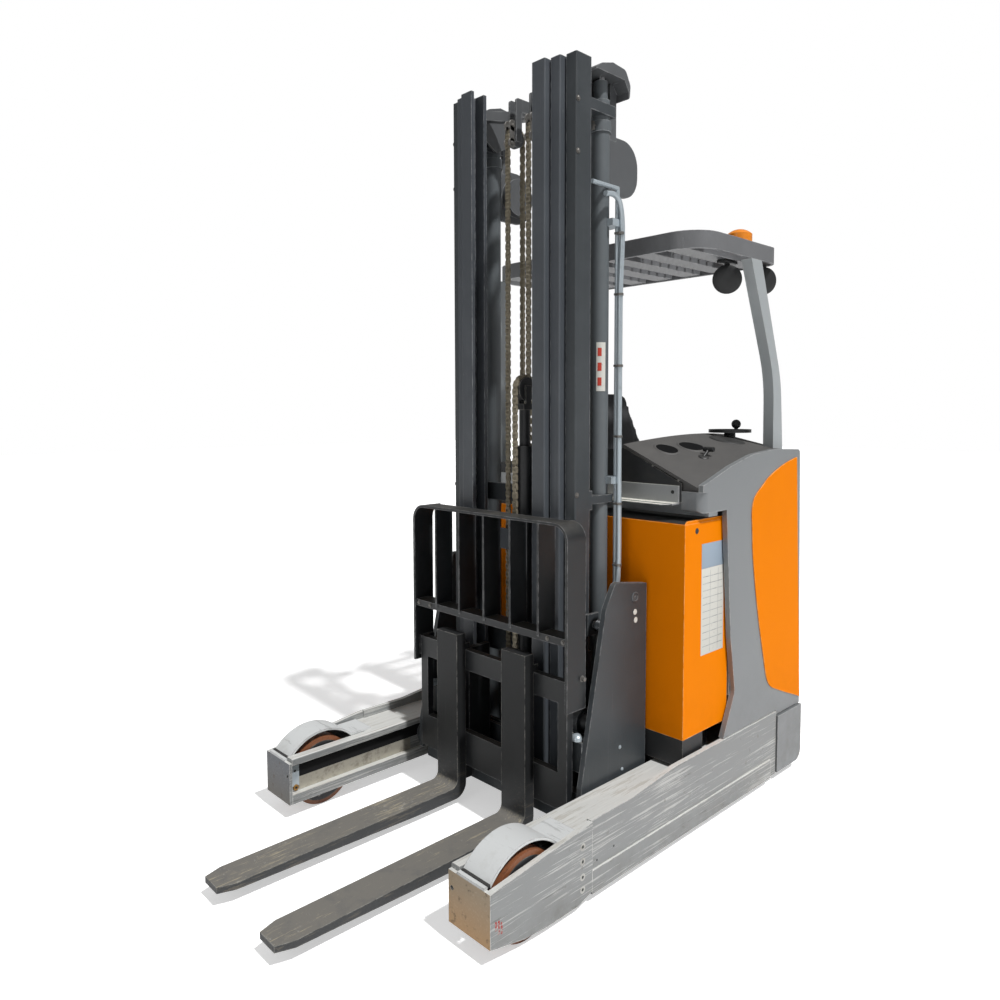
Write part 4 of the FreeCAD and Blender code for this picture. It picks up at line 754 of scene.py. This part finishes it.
def piece(name, bm, material, body):
    """Close a mesh into an object that rides with a body."""
    bmesh.ops.recalc_face_normals(bm, faces=bm.faces)
    mesh = bpy.data.meshes.new(name)
    bm.to_mesh(mesh)
    bm.free()
    obj = bpy.data.objects.new(name, mesh)
    bpy.context.scene.collection.objects.link(obj)
    mesh.materials.append(material)
    for face in mesh.polygons:
        face.use_smooth = len(face.vertices) == 4
    mesh.set_sharp_from_angle(angle=math.radians(38))
    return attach(obj, body)


def pipe(name, places, radius, material, body):
    """A round pipe through places, as a curve turned into a mesh."""
    data = bpy.data.curves.new(name, "CURVE")
    data.dimensions, data.bevel_depth, data.bevel_resolution = "3D", radius / 1000, 4
    data.use_fill_caps = True
    spline = data.splines.new("BEZIER")
    spline.bezier_points.add(len(places) - 1)
    for point, place in zip(spline.bezier_points, places):
        point.co = place
        point.handle_left_type = point.handle_right_type = "AUTO"
    draft = bpy.data.objects.new(name, data)
    bpy.context.scene.collection.objects.link(draft)
    mesh = bpy.data.meshes.new_from_object(draft)
    bpy.data.objects.remove(draft)
    bm = bmesh.new()
    bm.from_mesh(mesh)
    return piece(name, bm, material, body)


def bolt(bm, centre, axis="y", radius=8, height=5, flip=False):
    """A washer with a hexagon head on it; flip turns it to the other side."""
    sign, rim = -1 if flip else 1, radius * 1.45
    lathe(bm, [(rim, 0), (rim, 1.2 * sign), (radius * 1.2, 1.5 * sign)], centre, axis, 20)
    head = [(radius, 1.0 * sign), (radius, (height - 1) * sign), (radius * 0.82, height * sign)]
    lathe(bm, head, centre, axis, 6)


print("truck rear at", round(REAR, 3))

# %% [markdown]
# A leaf chain is a stack of plates on pins. Even links have four plates and odd links three, so
# that they mesh. A loop lays them along the route: up the front, over the sheave, down the back.

# %% Leaf chains
def chain_route(low, top, back_low, centre_x, radius):
    """A function from a length along the chain to (x, z, slope angle), and the whole length."""
    front, arc = top - low, math.pi * radius
    total = front + arc + top - back_low

    def where(s):
        if s < front:
            return centre_x + radius, low + s, math.pi / 2
        if s < front + arc:
            angle = (s - front) / radius
            return centre_x + radius * math.cos(angle), top + radius * math.sin(angle), angle + math.pi / 2
        return centre_x - radius, top - (s - front - arc), -math.pi / 2
    return where, total


def leaf_plate(bm, start, end, y, half, thick):
    """One link plate between two pin places (x, z)."""
    along = Vector((end[0] - start[0], end[1] - start[1])).normalized()
    rim = []
    for centre, way in ((start, -1), (end, 1)):
        for step in range(-2, 3):
            turn = math.radians(45 * step)
            u, v = way * math.cos(turn) * half, way * math.sin(turn) * half
            rim.append((centre[0] + along.x * u - along.y * v, centre[1] + along.y * u + along.x * v))
    near = [bm.verts.new(at(x, y - thick / 2, z)) for x, z in rim]
    far = [bm.verts.new(at(x, y + thick / 2, z)) for x, z in rim]
    skin(bm, [far, near])


def leaf_chain(bm, y, route, pitch=16.0, half=4.7):
    where, total = route
    count = int(total // pitch)
    for link in range(count):
        start, end = where(link * pitch)[:2], where((link + 1) * pitch)[:2]
        rows = (-9.3, -3.1, 3.1, 9.3) if link % 2 else (-6.2, 0.0, 6.2)
        for row in rows:
            leaf_plate(bm, start, end, y + row, half, 2.6)
        lathe(bm, [(2.6, -11.6), (2.6, 11.6)], at(start[0], y, start[1]), "y", 8)


def box_mm(name):
    """A node's box in millimetres from the truck's rear face."""
    low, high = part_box(name)
    return [(v - Vector((REAR, 0, 0))) * 1000 for v in (low, high)]


LIFT_ANCHOR, FREE_ANCHOR = 1262, 1350
LIFT_SHEAVE, FREE_SHEAVE, CHAIN_HALF = 40.3, 50.3, 5
chain_steel = finish("chain_steel")
low, high = box_mm("lift_chains")
bm = bmesh.new()
sheave_x, sheave_z = (low.x + high.x) / 2, high.z - LIFT_SHEAVE - CHAIN_HALF
for side in (-1, 1):
    leaf_chain(bm, side * (high.y - 12),
               chain_route(low.z + 6, sheave_z, LIFT_ANCHOR, sheave_x, LIFT_SHEAVE))
lift_links = piece("lift_chain_links", bm, chain_steel, "mast_middle")
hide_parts("lift_chains")
low, high = box_mm("carriage_chains")
bm = bmesh.new()
sheave_x, sheave_z = (low.x + high.x) / 2, high.z - FREE_SHEAVE - CHAIN_HALF
leaf_chain(bm, (low.y + high.y) / 2,
           chain_route(low.z + 6, sheave_z, FREE_ANCHOR, sheave_x, FREE_SHEAVE))
carriage_links = piece("carriage_chain_links", bm, chain_steel, "free_lift_head")
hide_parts("carriage_chains")
print("chain faces:", [len(links.data.polygons) for links in (lift_links, carriage_links)])

# %% [markdown]
# Load arms: four sunk screws hold each nose plate on the arm, as in a bolted wheel mount. A ring of
# painted shadow, a bright turned head and a socket painted dark for its shade are three small lathe
# parts, because a hole can't be cut in the arm's own solid. Small open holes are dark discs of
# painted shade for the same reason.

# %% Screws and holes of the arms
def sides(name, build, material, body):
    """Build the same detail on the left and the right, as one piece."""
    bm = bmesh.new()
    for sign in (1, -1):
        build(bm, sign)
    return piece(name, bm, material, body)


def sheet(bm, x, y, z, sign=1, edge=0.2):
    """A thin slab from ranges in millimetres; sign mirrors it to the other side."""
    ys = sorted((sign * y[0], sign * y[1]))
    slab(bm, at(x[0], ys[0], z[0]), at(x[1], ys[1], z[1]), edge)


nose_low, nose_high = box_mm("arm_nose_left")
OUT, WEB = nose_high.y, nose_low.y + 25
black, steel, zinced = finish("black_plastic"), finish("worn_steel"), finish("zinc")
SCREW_X, SCREW_HEIGHTS = 1458, (204, 157, 108, 68)


# Black rings and sockets: painted shade round and in each sunk screw.
def screw_shade_discs(bm, sign):
    for z in SCREW_HEIGHTS:
        for radius, height in ((15, 0.1), (5, 0.4)):
            lathe(bm, [(radius, -0.5 * sign), (radius, height * sign)],
                  at(SCREW_X, sign * (OUT - 0.3), z), "y", 28)


def nose_screws(bm, sign):
    for z in SCREW_HEIGHTS:
        lathe(bm, [(12.4, -0.4 * sign), (12.4, 0.1 * sign), (11.4, 0.25 * sign)],
              at(SCREW_X, sign * (OUT - 0.2), z), "y", 28)


# Dark discs: painted shade in open holes.
def arm_holes(bm, sign):
    for x, z, r in ((1287, 54, 7), (1304, 148, 3.5), (1389, 135, 3.5)):
        lathe(bm, [(r, -0.3), (r, 0.15)], at(x, sign * (OUT - 0.2), z), "y", 16)


sides("screw_shade_discs", screw_shade_discs, black, "chassis")
sides("nose_screws", nose_screws, worn_steel("screw_steel", (176, 175, 170)), "chassis")
sides("arm_holes", arm_holes, black, "chassis")
print("screws on each nose:", len(SCREW_HEIGHTS))

# %% [markdown]
# The mast carriage rolls in the arms' inner rails. A rail is polished pale below, where the
# rollers run, and its upper web lies in the shadow of the top flange, so two thin sheets lie on its
# web: a black one that is painted shadow, and a bare one. A plate with an eye, shown as a dark disc
# of painted shade, and a brass screw closes the rail's end.

# %% Rail details
def rail_end(bm, sign):
    sheet(bm, (1797, 1832), (WEB - 3.2, WEB - 0.2), (118, 198), sign, 0.4)


def rail_screw(bm, sign):
    lathe(bm, [(11, 0), (11, -sign * 5), (9.5, -sign * 6), (5, -sign * 6), (4.5, -sign * 4)],
          at(1812, sign * (WEB - 1), 113), "y")


# The eyes are dark discs: painted shade in open holes.
def rail_eyes(bm, sign):
    for x, z, r, out in ((1815, 178, 5, 3.2), (1812, 113, 4.6, 6.6)):
        lathe(bm, [(r, 0), (r, -sign * 0.8)], at(x, sign * (WEB - out), z), "y", 16)


# The black sheet is painted shadow: the top flange's shade on the upper web.
def rail_shadow_sheet(bm, sign):
    sheet(bm, (880, 1832), (WEB - 0.8, WEB - 0.2), (150, 209), sign)


def rail_wear(bm, sign):
    sheet(bm, (1262, 1796), (WEB - 0.7, WEB - 0.2), (99, 149.5), sign)


# Near-black for the rails' painted shadow.
rail_shadow_black = Finish("rail_shadow_black", (17, 17, 18), 0.6, specular=0.2).done()
sides("rail_end_plates", rail_end, zinced, "chassis")
sides("rail_screws", rail_screw, worn_steel("brass", (158, 118, 60)), "chassis")
sides("rail_eyes", rail_eyes, black, "chassis")
sides("rail_shadow_sheets", rail_shadow_sheet, rail_shadow_black, "chassis")
sides("rail_wear", rail_wear, worn_steel("rail_wear", (176, 171, 158)), "chassis")
print("rail web at", round(WEB, 1), "mm from the centre line")

# %% [markdown]
# A load wheel's hub is closed by a dark dished disc with eight bolts, which leaves only the brown
# band to see round it. The discs ride with their wheel, so the bolts show that it turns.

# %% Wheel shields
DISH = ((30, -0.5), (117, -0.5), (117, 0.6), (112, 1.2), (34, 1.2))
BOLTS, BOLT_CIRCLE, FIRST_BOLT = 8, 96, 12


def wheel_shields(side):
    low, high = box_mm("load_tyre_" + side)
    middle, bm = (low + high) / 2, bmesh.new()
    for y, out in ((high.y, 1), (low.y, -1)):
        lathe(bm, [(r, h * out) for r, h in DISH], at(middle.x, y, middle.z), "y", 56)
    piece("wheel_shield_" + side, bm, finish("dark_steel"), "load_wheel_" + side)
    bm = bmesh.new()
    for i in range(BOLTS):
        turn = math.radians(360 / BOLTS * i + FIRST_BOLT)
        u, w = BOLT_CIRCLE * math.cos(turn), BOLT_CIRCLE * math.sin(turn)
        for y, out in ((high.y, 1), (low.y, -1)):
            spot = at(middle.x + u, y + 1.2 * out, middle.z + w)
            lathe(bm, [(6, 0), (6, 1.2 * out), (4.5, 1.8 * out)], spot, "y", 12)
    piece("wheel_bolts_" + side, bm, steel, "load_wheel_" + side)


for side in ("left", "right"):
    wheel_shields(side)
print("shields on both load wheels")

# %% [markdown]
# A black lip runs along the front of each fender. The left arm carries a small red mark. Here it
# is three thin strokes of a patchy red, because it is worn and must form no letter or sign.

# %% Fender lips and the mark
def fender_lip(bm, sign):
    sheet(bm, (1826, 1837), (nose_low.y + 40, nose_low.y + 152), (219, 231), sign, 2)


sides("fender_lips", fender_lip, black, "chassis")
red = Finish("red_mark", (150, 44, 40), 0.6)
red.over("blotches", (150, 148, 144), 0.5, 0.9, Scale=120.0, Cover=0.5, Soft=0.05)
bm = bmesh.new()
for x, z, height in ((1806, 108, 34), (1817, 114, 40), (1828, 122, 26)):
    sheet(bm, (x - 3.5, x + 3.5), (OUT - 0.1, OUT + 0.15), (z - height / 2, z + height / 2))
piece("arm_mark", bm, red.done(), "chassis")
print("lips and mark ready")

# %% [markdown]
# Battery box: a sheet-metal trough with a printed data plate, left blank here, and a lifting hole
# on each side. The plate is a thin slab with a bluish head field and ruled lines, because a real
# slab casts its own edge, where a flat print would not.

# %% Battery plate and holes
battery_low, battery_high = box_mm("battery_box")
label_white = Finish("label_white", (196, 195, 188), 0.55)
label_white.over("blotches", (150, 146, 136), 0.7, 0.6, Scale=60.0, Cover=0.4, Soft=0.1)
label_white = label_white.done()
label_blue = Finish("label_blue", (142, 156, 170), 0.5).done()
SIDE = battery_high.y
bm = bmesh.new()
sheet(bm, (597, 751), (SIDE, SIDE + 0.6), (638, 960))
piece("battery_plate", bm, label_white, "chassis")
bm = bmesh.new()
sheet(bm, (597, 751), (SIDE, SIDE + 0.6), (960.4, 1053))
piece("battery_plate_head", bm, label_blue, "chassis")
bm = bmesh.new()
for z in range(668, 950, 26):
    sheet(bm, (607, 741), (SIDE + 0.5, SIDE + 0.8), (z, z + 2.5))
for x in (636, 690):
    sheet(bm, (x, x + 2), (SIDE + 0.5, SIDE + 0.75), (645, 952))
piece("battery_plate_rules", bm, finish("body_paint"), "chassis")


# The hole is a dark disc: painted shade in the open lifting hole.
def lifting_hole(bm, sign):
    lathe(bm, [(11, -0.4), (11, sign * 0.3), (9.5, sign * 0.5)], at(785, sign * SIDE, 1105), "y", 28)


sides("battery_holes", lifting_hole, black, "chassis")
print("battery details ready")

# %% [markdown]
# Mast carriage: the tilt cylinders and the mast's foot turn on pins in its two side plates. Each
# plate has the pin's turned cap and blank service stickers. The guide blocks beside the mast are
# worn bright on top, where a greased dome covers the thrust screw.

# %% Side plate and block details
PLATE_FACE = 445


def pin_cap(bm, sign):
    cap = [(19, -0.5), (19, 2.5), (16, 4), (13, 4), (12.4, 2.2), (5, 2.2), (4.4, 3.2)]
    lathe(bm, [(r, sign * h) for r, h in cap], at(942, sign * PLATE_FACE, 863), "y", 32)


def stickers(bm, sign):
    for x, z in ((941, 808), (937, 778)):
        ring = [(10.5, -0.3), (10.5, 0.6), (9.5, 0.8), (5.5, 0.8), (5.0, 0.4)]
        lathe(bm, [(r, sign * h) for r, h in ring], at(x, sign * PLATE_FACE, z), "y", 24)


def plate_screws(bm, sign):
    for x, z in ((1012, 243), (1026, 329), (905, 210)):
        bolt(bm, at(x, sign * PLATE_FACE, z), "y", 5, 4, sign < 0)


def worn_tops(bm, sign):
    sheet(bm, (1179, 1213), (352, 421), (390.8, 391.6), sign, 0.3)
    sheet(bm, (1183, 1211), (294, 421), (204.8, 205.6), sign, 0.3)


def thrust_dome(bm, sign):
    dome = [(23, 0), (23, 5), (21, 11), (16, 17), (9, 20.5), (3, 21.5)]
    lathe(bm, dome, at(1201, sign * 392, 391), "z", 28)


def thrust_bolt(bm, sign):
    bolt(bm, at(1196, sign * 364, 391.4), "z", 7, 16)


for name, build, material, slot in (("pin_caps", pin_cap, finish("mast_paint"), "mast_grey"),
                                    ("plate_stickers", stickers, label_white, "body_grey"),
                                    ("plate_screws", plate_screws, zinced, "worn_steel"),
                                    ("worn_tops", worn_tops, steel, "worn_steel"),
                                    ("thrust_domes", thrust_dome, zinced, "chrome_rod"),
                                    ("thrust_bolts", thrust_bolt, steel, "worn_steel")):
    sides(name, build, material, "reach_carriage")
print("carriage details ready")

# %% [markdown]
# Mast: a blank sticker is wrapped round the left lift cylinder. A flat label would stand off a
# round tube, so the sheet is built from two curved skins and closed at its rim.

# %% Cylinder sticker
cyl_low, cyl_high = box_mm("lift_cylinders")
cyl_x, cyl_r = (cyl_low.x + cyl_high.x) / 2, (cyl_high.x - cyl_low.x) / 2
cyl_y = cyl_high.y - cyl_r


def wrap(bm, centre, radius, turns, heights, steps=10):
    """A thin sheet bent round an upright cylinder between two angles."""
    rings = []
    for r in (radius + 0.3, radius + 0.8):
        for z in heights:
            rings.append([bm.verts.new(at(centre[0] + r * math.cos(math.radians(a)),
                                          centre[1] + r * math.sin(math.radians(a)), z))
                          for a in (turns[0] + (turns[1] - turns[0]) * i / steps for i in range(steps + 1))])
    low_in, top_in, low_out, top_out = rings
    for i in range(steps):
        for a, b in ((low_out, top_out), (top_in, low_in), (low_in, low_out), (top_out, top_in)):
            bm.faces.new((a[i], a[i + 1], b[i + 1], b[i]))
    for i in (0, steps):
        bm.faces.new((low_in[i], low_out[i], top_out[i], top_in[i]))


bm = bmesh.new()
wrap(bm, (cyl_x, cyl_y), cyl_r, (22, 80), (1612, 1790))
piece("cylinder_sticker", bm, label_white, "mast_outer")
bm = bmesh.new()
for z in (1632, 1686, 1740):
    wrap(bm, (cyl_x, cyl_y), cyl_r + 0.6, (30, 54), (z, z + 30))
piece("sticker_fields", bm, Finish("sticker_red", (176, 52, 34), 0.5).done(), "mast_outer")
print("sticker radius:", round(cyl_r, 1), "mm")

# %% [markdown]
# A clamp with bolted ears holds each lift cylinder near its top. Beside the left one a second
# zinc-plated oil pipe runs down the outer mast in small clamp rings. A pipe has one thickness along
# a bent path, so it is a curve with a round bevel, turned into a mesh.

# %% Clamps and the second pipe
def cylinder_clamp(bm, sign):
    centre = at(cyl_x, sign * cyl_y, 2545)
    lathe(bm, [(cyl_r + 0.3, 0), (cyl_r + 5, 1), (cyl_r + 5, 39), (cyl_r + 0.3, 40)], centre, "z", 36)


def clamp_bolts(bm, sign):
    for z in (2618, 2440, 1240):
        bolt(bm, at(1128, sign * 325, z), "y", 7, 5, sign < 0)
    for side in (-1, 1):
        x = cyl_x + side * (cyl_r + 10)
        sheet(bm, (x - 8, x + 8), (cyl_y - 6, cyl_y + 6), (2549, 2581), sign, 2)
        bolt(bm, at(x, sign * (cyl_y + 6), 2565), "y", 5, 5, sign < 0)


sides("cylinder_clamps", cylinder_clamp, finish("cylinder_paint"), "mast_outer")
sides("clamp_bolts", clamp_bolts, steel, "mast_outer")
PIPE_PATH = ((1010, 352, 2312), (950, 352, 2312), (921, 350, 2284), (919, 350, 1900), (919, 350, 1400),
             (919, 350, 930), (926, 350, 880))
pipe("second_pipe", [at(*place) for place in PIPE_PATH], 10, zinced, "mast_outer")
bm = bmesh.new()
for z in (960, 1190, 1440, 1700, 1960, 2180):
    lathe(bm, [(10.3, 0), (13, 0.5), (13, 9), (10.3, 9.5)], at(919, 350, z), "z", 20)
    slab(bm, at(926, 333, z + 1), at(934, 356, z + 9), 0.8)
piece("pipe_clamps", bm, steel, "mast_outer")
print("pipe with", len(PIPE_PATH), "bends and ends")

# %% [markdown]
# Each lift chain ends in a forged clevis: two cheeks with round eyes, on two cross bolts. Flat
# cheeks and turned eyes overlap into the forged outline without any cutting.

# %% Chain clevises
def clevis(bm, sign):
    y = sign * 55
    for near in (-15, 9):
        slab(bm, at(1072, y + near, 2560), at(1096, y + near + 6, 2632), 2)
        lathe(bm, [(21, 0), (22, 1), (22, 5), (21, 6)], at(1080, y + near, 2632), "y", 24)
        lathe(bm, [(17, 0), (18, 1), (18, 5), (17, 6)], at(1086, y + near, 2566), "y", 24)
    for x, z in ((1080, 2632), (1086, 2566)):
        lathe(bm, [(6, -19), (7, -18), (7, 18), (6, 19)], at(x, y, z), "y", 12)


sides("chain_clevises", clevis, steel, "mast_middle")
print("clevises ready")

# %% [markdown]
# Forks and load backrest: the backrest is bolted to the fork carriage through its lower bar, and
# a side stop screw shows on each post.

# %% Backrest details
rest_side = box_mm("load_backrest")[1].y


def rest_bolts(bm, sign):
    for y in (322, 394):
        bolt(bm, at(1279, sign * y, 752), "x", 6, 5)
    bolt(bm, at(1208, sign * rest_side, 617), "y", 8, 14, sign < 0)


sides("backrest_bolts", rest_bolts, steel, "fork_carriage")
print("backrest details ready")

# %% [markdown]
# Operator's place: the dash has two round cups, a short lever in a slot and a well under the hand
# wheel. The dash is curved and its own solid stays as it is, so each of these is a skin draped on
# it: rays cast down find the dash's height at every corner, and the skin is lifted from there. The
# cups' floors are near-black, painted shade for their hollows.

# %% Cups, lever and wheel well
def top_of(name, x, y):
    """The height in millimetres of a solid's upper face over a place."""
    solid = nodes[name]
    back = solid.matrix_world.inverted()
    start, way = back @ at(x, y, 3000), back.to_3x3() @ Vector((0, 0, -1))
    hit, spot, _, _ = solid.ray_cast(start, way.normalized())
    return (solid.matrix_world @ spot).z * 1000 if hit else None


def drape(bm, name, centre, rings, steps=48):
    """A skin that follows a solid's upper face: rings of (radius, height over the face)."""
    rows = []
    for radius, lift in rings:
        row = []
        for i in range(steps):
            x = centre[0] + radius * math.cos(2 * math.pi * i / steps)
            y = centre[1] + radius * math.sin(2 * math.pi * i / steps)
            row.append(bm.verts.new(at(x, y, top_of(name, x, y) + lift)))
        rows.append(row)
    skin(bm, rows)


CUPS = (((637, 369), 44), ((512, 400), 50))
bm = bmesh.new()
for centre, r in CUPS:
    rim = [(r - 3, 0.2), (r + 9, 0.2), (r + 7, 1.6), (r + 3, 3.4), (r, 3.0), (r - 2, 1.0)]
    drape(bm, "dash_cover", centre, rim)
piece("cup_rims", bm, finish("dash_plastic"), "chassis")
bm = bmesh.new()
# The cups' floors are near-black: painted shade in their hollows.
for centre, r in CUPS:
    floor = [(r - 1, 0.4), (r - 1, 1.4), (r - 8, 1.6), (r * 0.4, 1.6), (r * 0.05, 1.6)]
    drape(bm, "dash_cover", centre, floor)
cup_shade = Finish("cup_shade_black", (13, 13, 14), 0.8, specular=0.1)
piece("cup_shade_floors", bm, cup_shade.done(), "chassis")
bm = bmesh.new()
foot = top_of("dash_cover", 575, 494)
drape(bm, "dash_cover", (575, 494), [(9, 0.2), (20, 0.4), (19, 3), (15, 5), (9, 6)], 20)
lathe(bm, [(7, 0), (6, 34), (6.5, 40), (5, 44)], at(575, 494, foot + 2),
      Vector((-0.75, 0.1, 0.66)).normalized(), 16)
lathe(bm, [(9, -22), (10, -18), (10, 18), (9, 22)], at(545, 498, foot + 30), "y", 16)
piece("dash_lever", bm, black, "chassis")
bm = bmesh.new()
drape(bm, "dash_cover", (240, 400), [(60, 0.2), (74, 0.4), (70, 4), (60, 6), (20, 6.5)], 40)
piece("wheel_well", bm, black, "chassis")
print("lever foot at", round(foot), "mm")

# %% [markdown]
# Flat sheet parts close what would otherwise be open: a backing behind the dash's front edge, the
# shelf's tray, the battery's lid and the two rims beside it. Each is an outline given a thickness.

# %% Sheet parts and their screws
def plate(bm, axis, outline, low, high):
    """A flat plate: an outline in the plane across an axis, between two places along it."""
    def spot(u, v, w):
        return at(w, u, v) if axis == "x" else at(u, w, v) if axis == "y" else at(u, v, w)
    near, far = ([bm.verts.new(spot(u, v, w)) for u, v in outline] for w in (low, high))
    skin(bm, [far, near])


bm = bmesh.new()
plate(bm, "x", [(300, 1240), (604, 1228), (604, 1262), (545, 1280), (400, 1337), (300, 1364)],
      768, 777)
piece("dash_backing", bm, finish("dash_plastic"), "chassis")
bm = bmesh.new()
plate(bm, "z", [(786, -565), (786, 524), (822, 524), (858, 488), (858, -540)], 1196.5, 1199)
piece("shelf_tray", bm, finish("aluminium"), "chassis")
bm = bmesh.new()
top = battery_high.z
plate(bm, "z", [(568, -594), (568, 594), (855, 594), (855, -594)], top + 0.2, top + 1.4)
piece("battery_lid", bm, black, "chassis")
bm = bmesh.new()
for sign in (1, -1):
    plate(bm, "y", [(566, top - 1), (566, top + 11), (846, top + 11), (860, top - 1)],
          sign * (SIDE - 5), sign * (SIDE - 1))
piece("battery_rims", bm, finish("orange_paint"), "chassis")
bm = bmesh.new()
for x, y, z in ((786, 407, 1332), (786, 520, 1283), (786, 250, 1345), (786, 0, 1345)):
    bolt(bm, at(x, y, z), "x", 3, 2.5)
piece("dash_screws", bm, steel, "chassis")
bm = bmesh.new()
for y in (500, 20, -480):
    lathe(bm, [(7, -0.3), (7, 0.8), (5.5, 1.2), (3, 0.6)], at(792, y, 1240), "x", 20)
piece("shelf_screws", bm, black, "chassis")
print("sheet parts ready")

# %% [markdown]
# Two round mirrors hang from stems under the guard, so that the driver sees past the battery. A
# mirror is a shallow turned dish, and its axis may point anywhere, as on a ball joint.

# %% Mirrors
roof_under = box_mm("guard_roof")[0].z
OUTER_MIRROR, INNER_MIRROR = (345, 450, 2070), (150, 505, 2078)


def mirror(bm, centre, radius, face):
    dish = [(radius - 6, -12), (radius, -6), (radius, 4), (radius - 5, 7), (radius * 0.6, 10), (8, 12)]
    lathe(bm, dish, at(*centre), face.normalized(), 40)


# The outer mirror faces the camera's place, in front of the left load arm.
outer_face = Vector((3268, 2142, 1538)) - Vector(OUTER_MIRROR)
bm = bmesh.new()
mirror(bm, OUTER_MIRROR, 58, outer_face)
slab(bm, at(338, 440, 2118), at(352, 458, roof_under + 4), 1)
slab(bm, at(300, 430, 2132), at(392, 470, roof_under + 3), 1)
mirror(bm, INNER_MIRROR, 56, Vector((0.5, 0.8, -0.1)))
slab(bm, at(143, 497, 2122), at(157, 513, roof_under + 4), 1)
piece("round_mirrors", bm, black, "chassis")
print("mirrors ready")

# %% [markdown]
# Seat: foam under coated cloth, sewn in three fields, so it is crowned and drawn in at the seams.
# A bevelled block would look like wood. The pads are blown up as cloth from the plain solids, a
# little smaller at the start, and each corner's travel is limited so that the pads stay in the
# solids' room.

# %% Seat pads
SEAM_DEPTH, SEAM_WIDTH, SEAM_PLACE = 0.006, 0.007, 0.27
MARGIN = 0.001


def seam_draw(x, middle, width):
    """How far two sewn seams draw the cloth in at a place across the pad."""
    return sum(SEAM_DEPTH * math.exp(-((x - middle - side * width * SEAM_PLACE) / SEAM_WIDTH) ** 2)
               for side in (-1, 1))


def settled(draft):
    """The mesh that an object shows with its modifiers."""
    return bpy.data.meshes.new_from_object(draft.evaluated_get(bpy.context.evaluated_depsgraph_get()))


def blow_up(draft, last=20):
    """Run a light cloth with air in it and no gravity, and give back its last frame."""
    scene = bpy.context.scene
    cloth = draft.modifiers.new("cloth", "CLOTH")
    cloth.settings.quality, cloth.settings.mass = 5, 0.3
    cloth.settings.use_pressure, cloth.settings.uniform_pressure_force = True, 4.0
    cloth.settings.tension_stiffness = cloth.settings.compression_stiffness = 15
    cloth.settings.effector_weights.gravity = 0
    cloth.point_cache.frame_start, cloth.point_cache.frame_end = 1, last
    for frame_number in range(1, last + 1):
        scene.frame_set(frame_number)
    blown = settled(draft)
    scene.frame_set(1)
    return blown


def pad(name, start=0.965, most=0.016, voxel=0.012):
    """Blow a plain solid up and give it back as a mesh of its own."""
    mesh = nodes[name].data.copy()
    mesh.transform(nodes[name].matrix_world)
    low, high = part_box(name)
    middle = (Vector(low) + Vector(high)) / 2
    for v in mesh.vertices:
        v.co = middle + (v.co - middle) * start
    draft = bpy.data.objects.new(name + "_pad", mesh)
    bpy.context.scene.collection.objects.link(draft)
    draft.modifiers.new("even", "REMESH").voxel_size = voxel
    draft.modifiers["even"].mode = "VOXEL"
    even = settled(draft)
    draft.modifiers.clear()
    draft.data = even
    begin = [v.co.copy() for v in even.vertices]
    blown = blow_up(draft)
    bpy.data.objects.remove(draft)
    bm = bmesh.new()
    bm.from_mesh(blown)
    for v, old in zip(bm.verts, begin):
        move = v.co - old
        v.co = old + move * min(1.0, most / max(move.length, 1e-6))
        inward = (middle - v.co).normalized()
        v.co += inward * seam_draw(v.co.x, middle.x, high[0] - low[0])
        v.co = Vector([min(max(c, a + MARGIN), b - MARGIN) for c, a, b in zip(v.co, low, high)])
    made = piece(name + "_pad", bm, finish("seat_cloth"), "chassis")
    made.data.shade_smooth()
    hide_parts(name)
    return made


for name in ("seat_cushion", "seat_backrest"):
    made = pad(name)
    print(made.name, len(made.data.polygons), "faces")
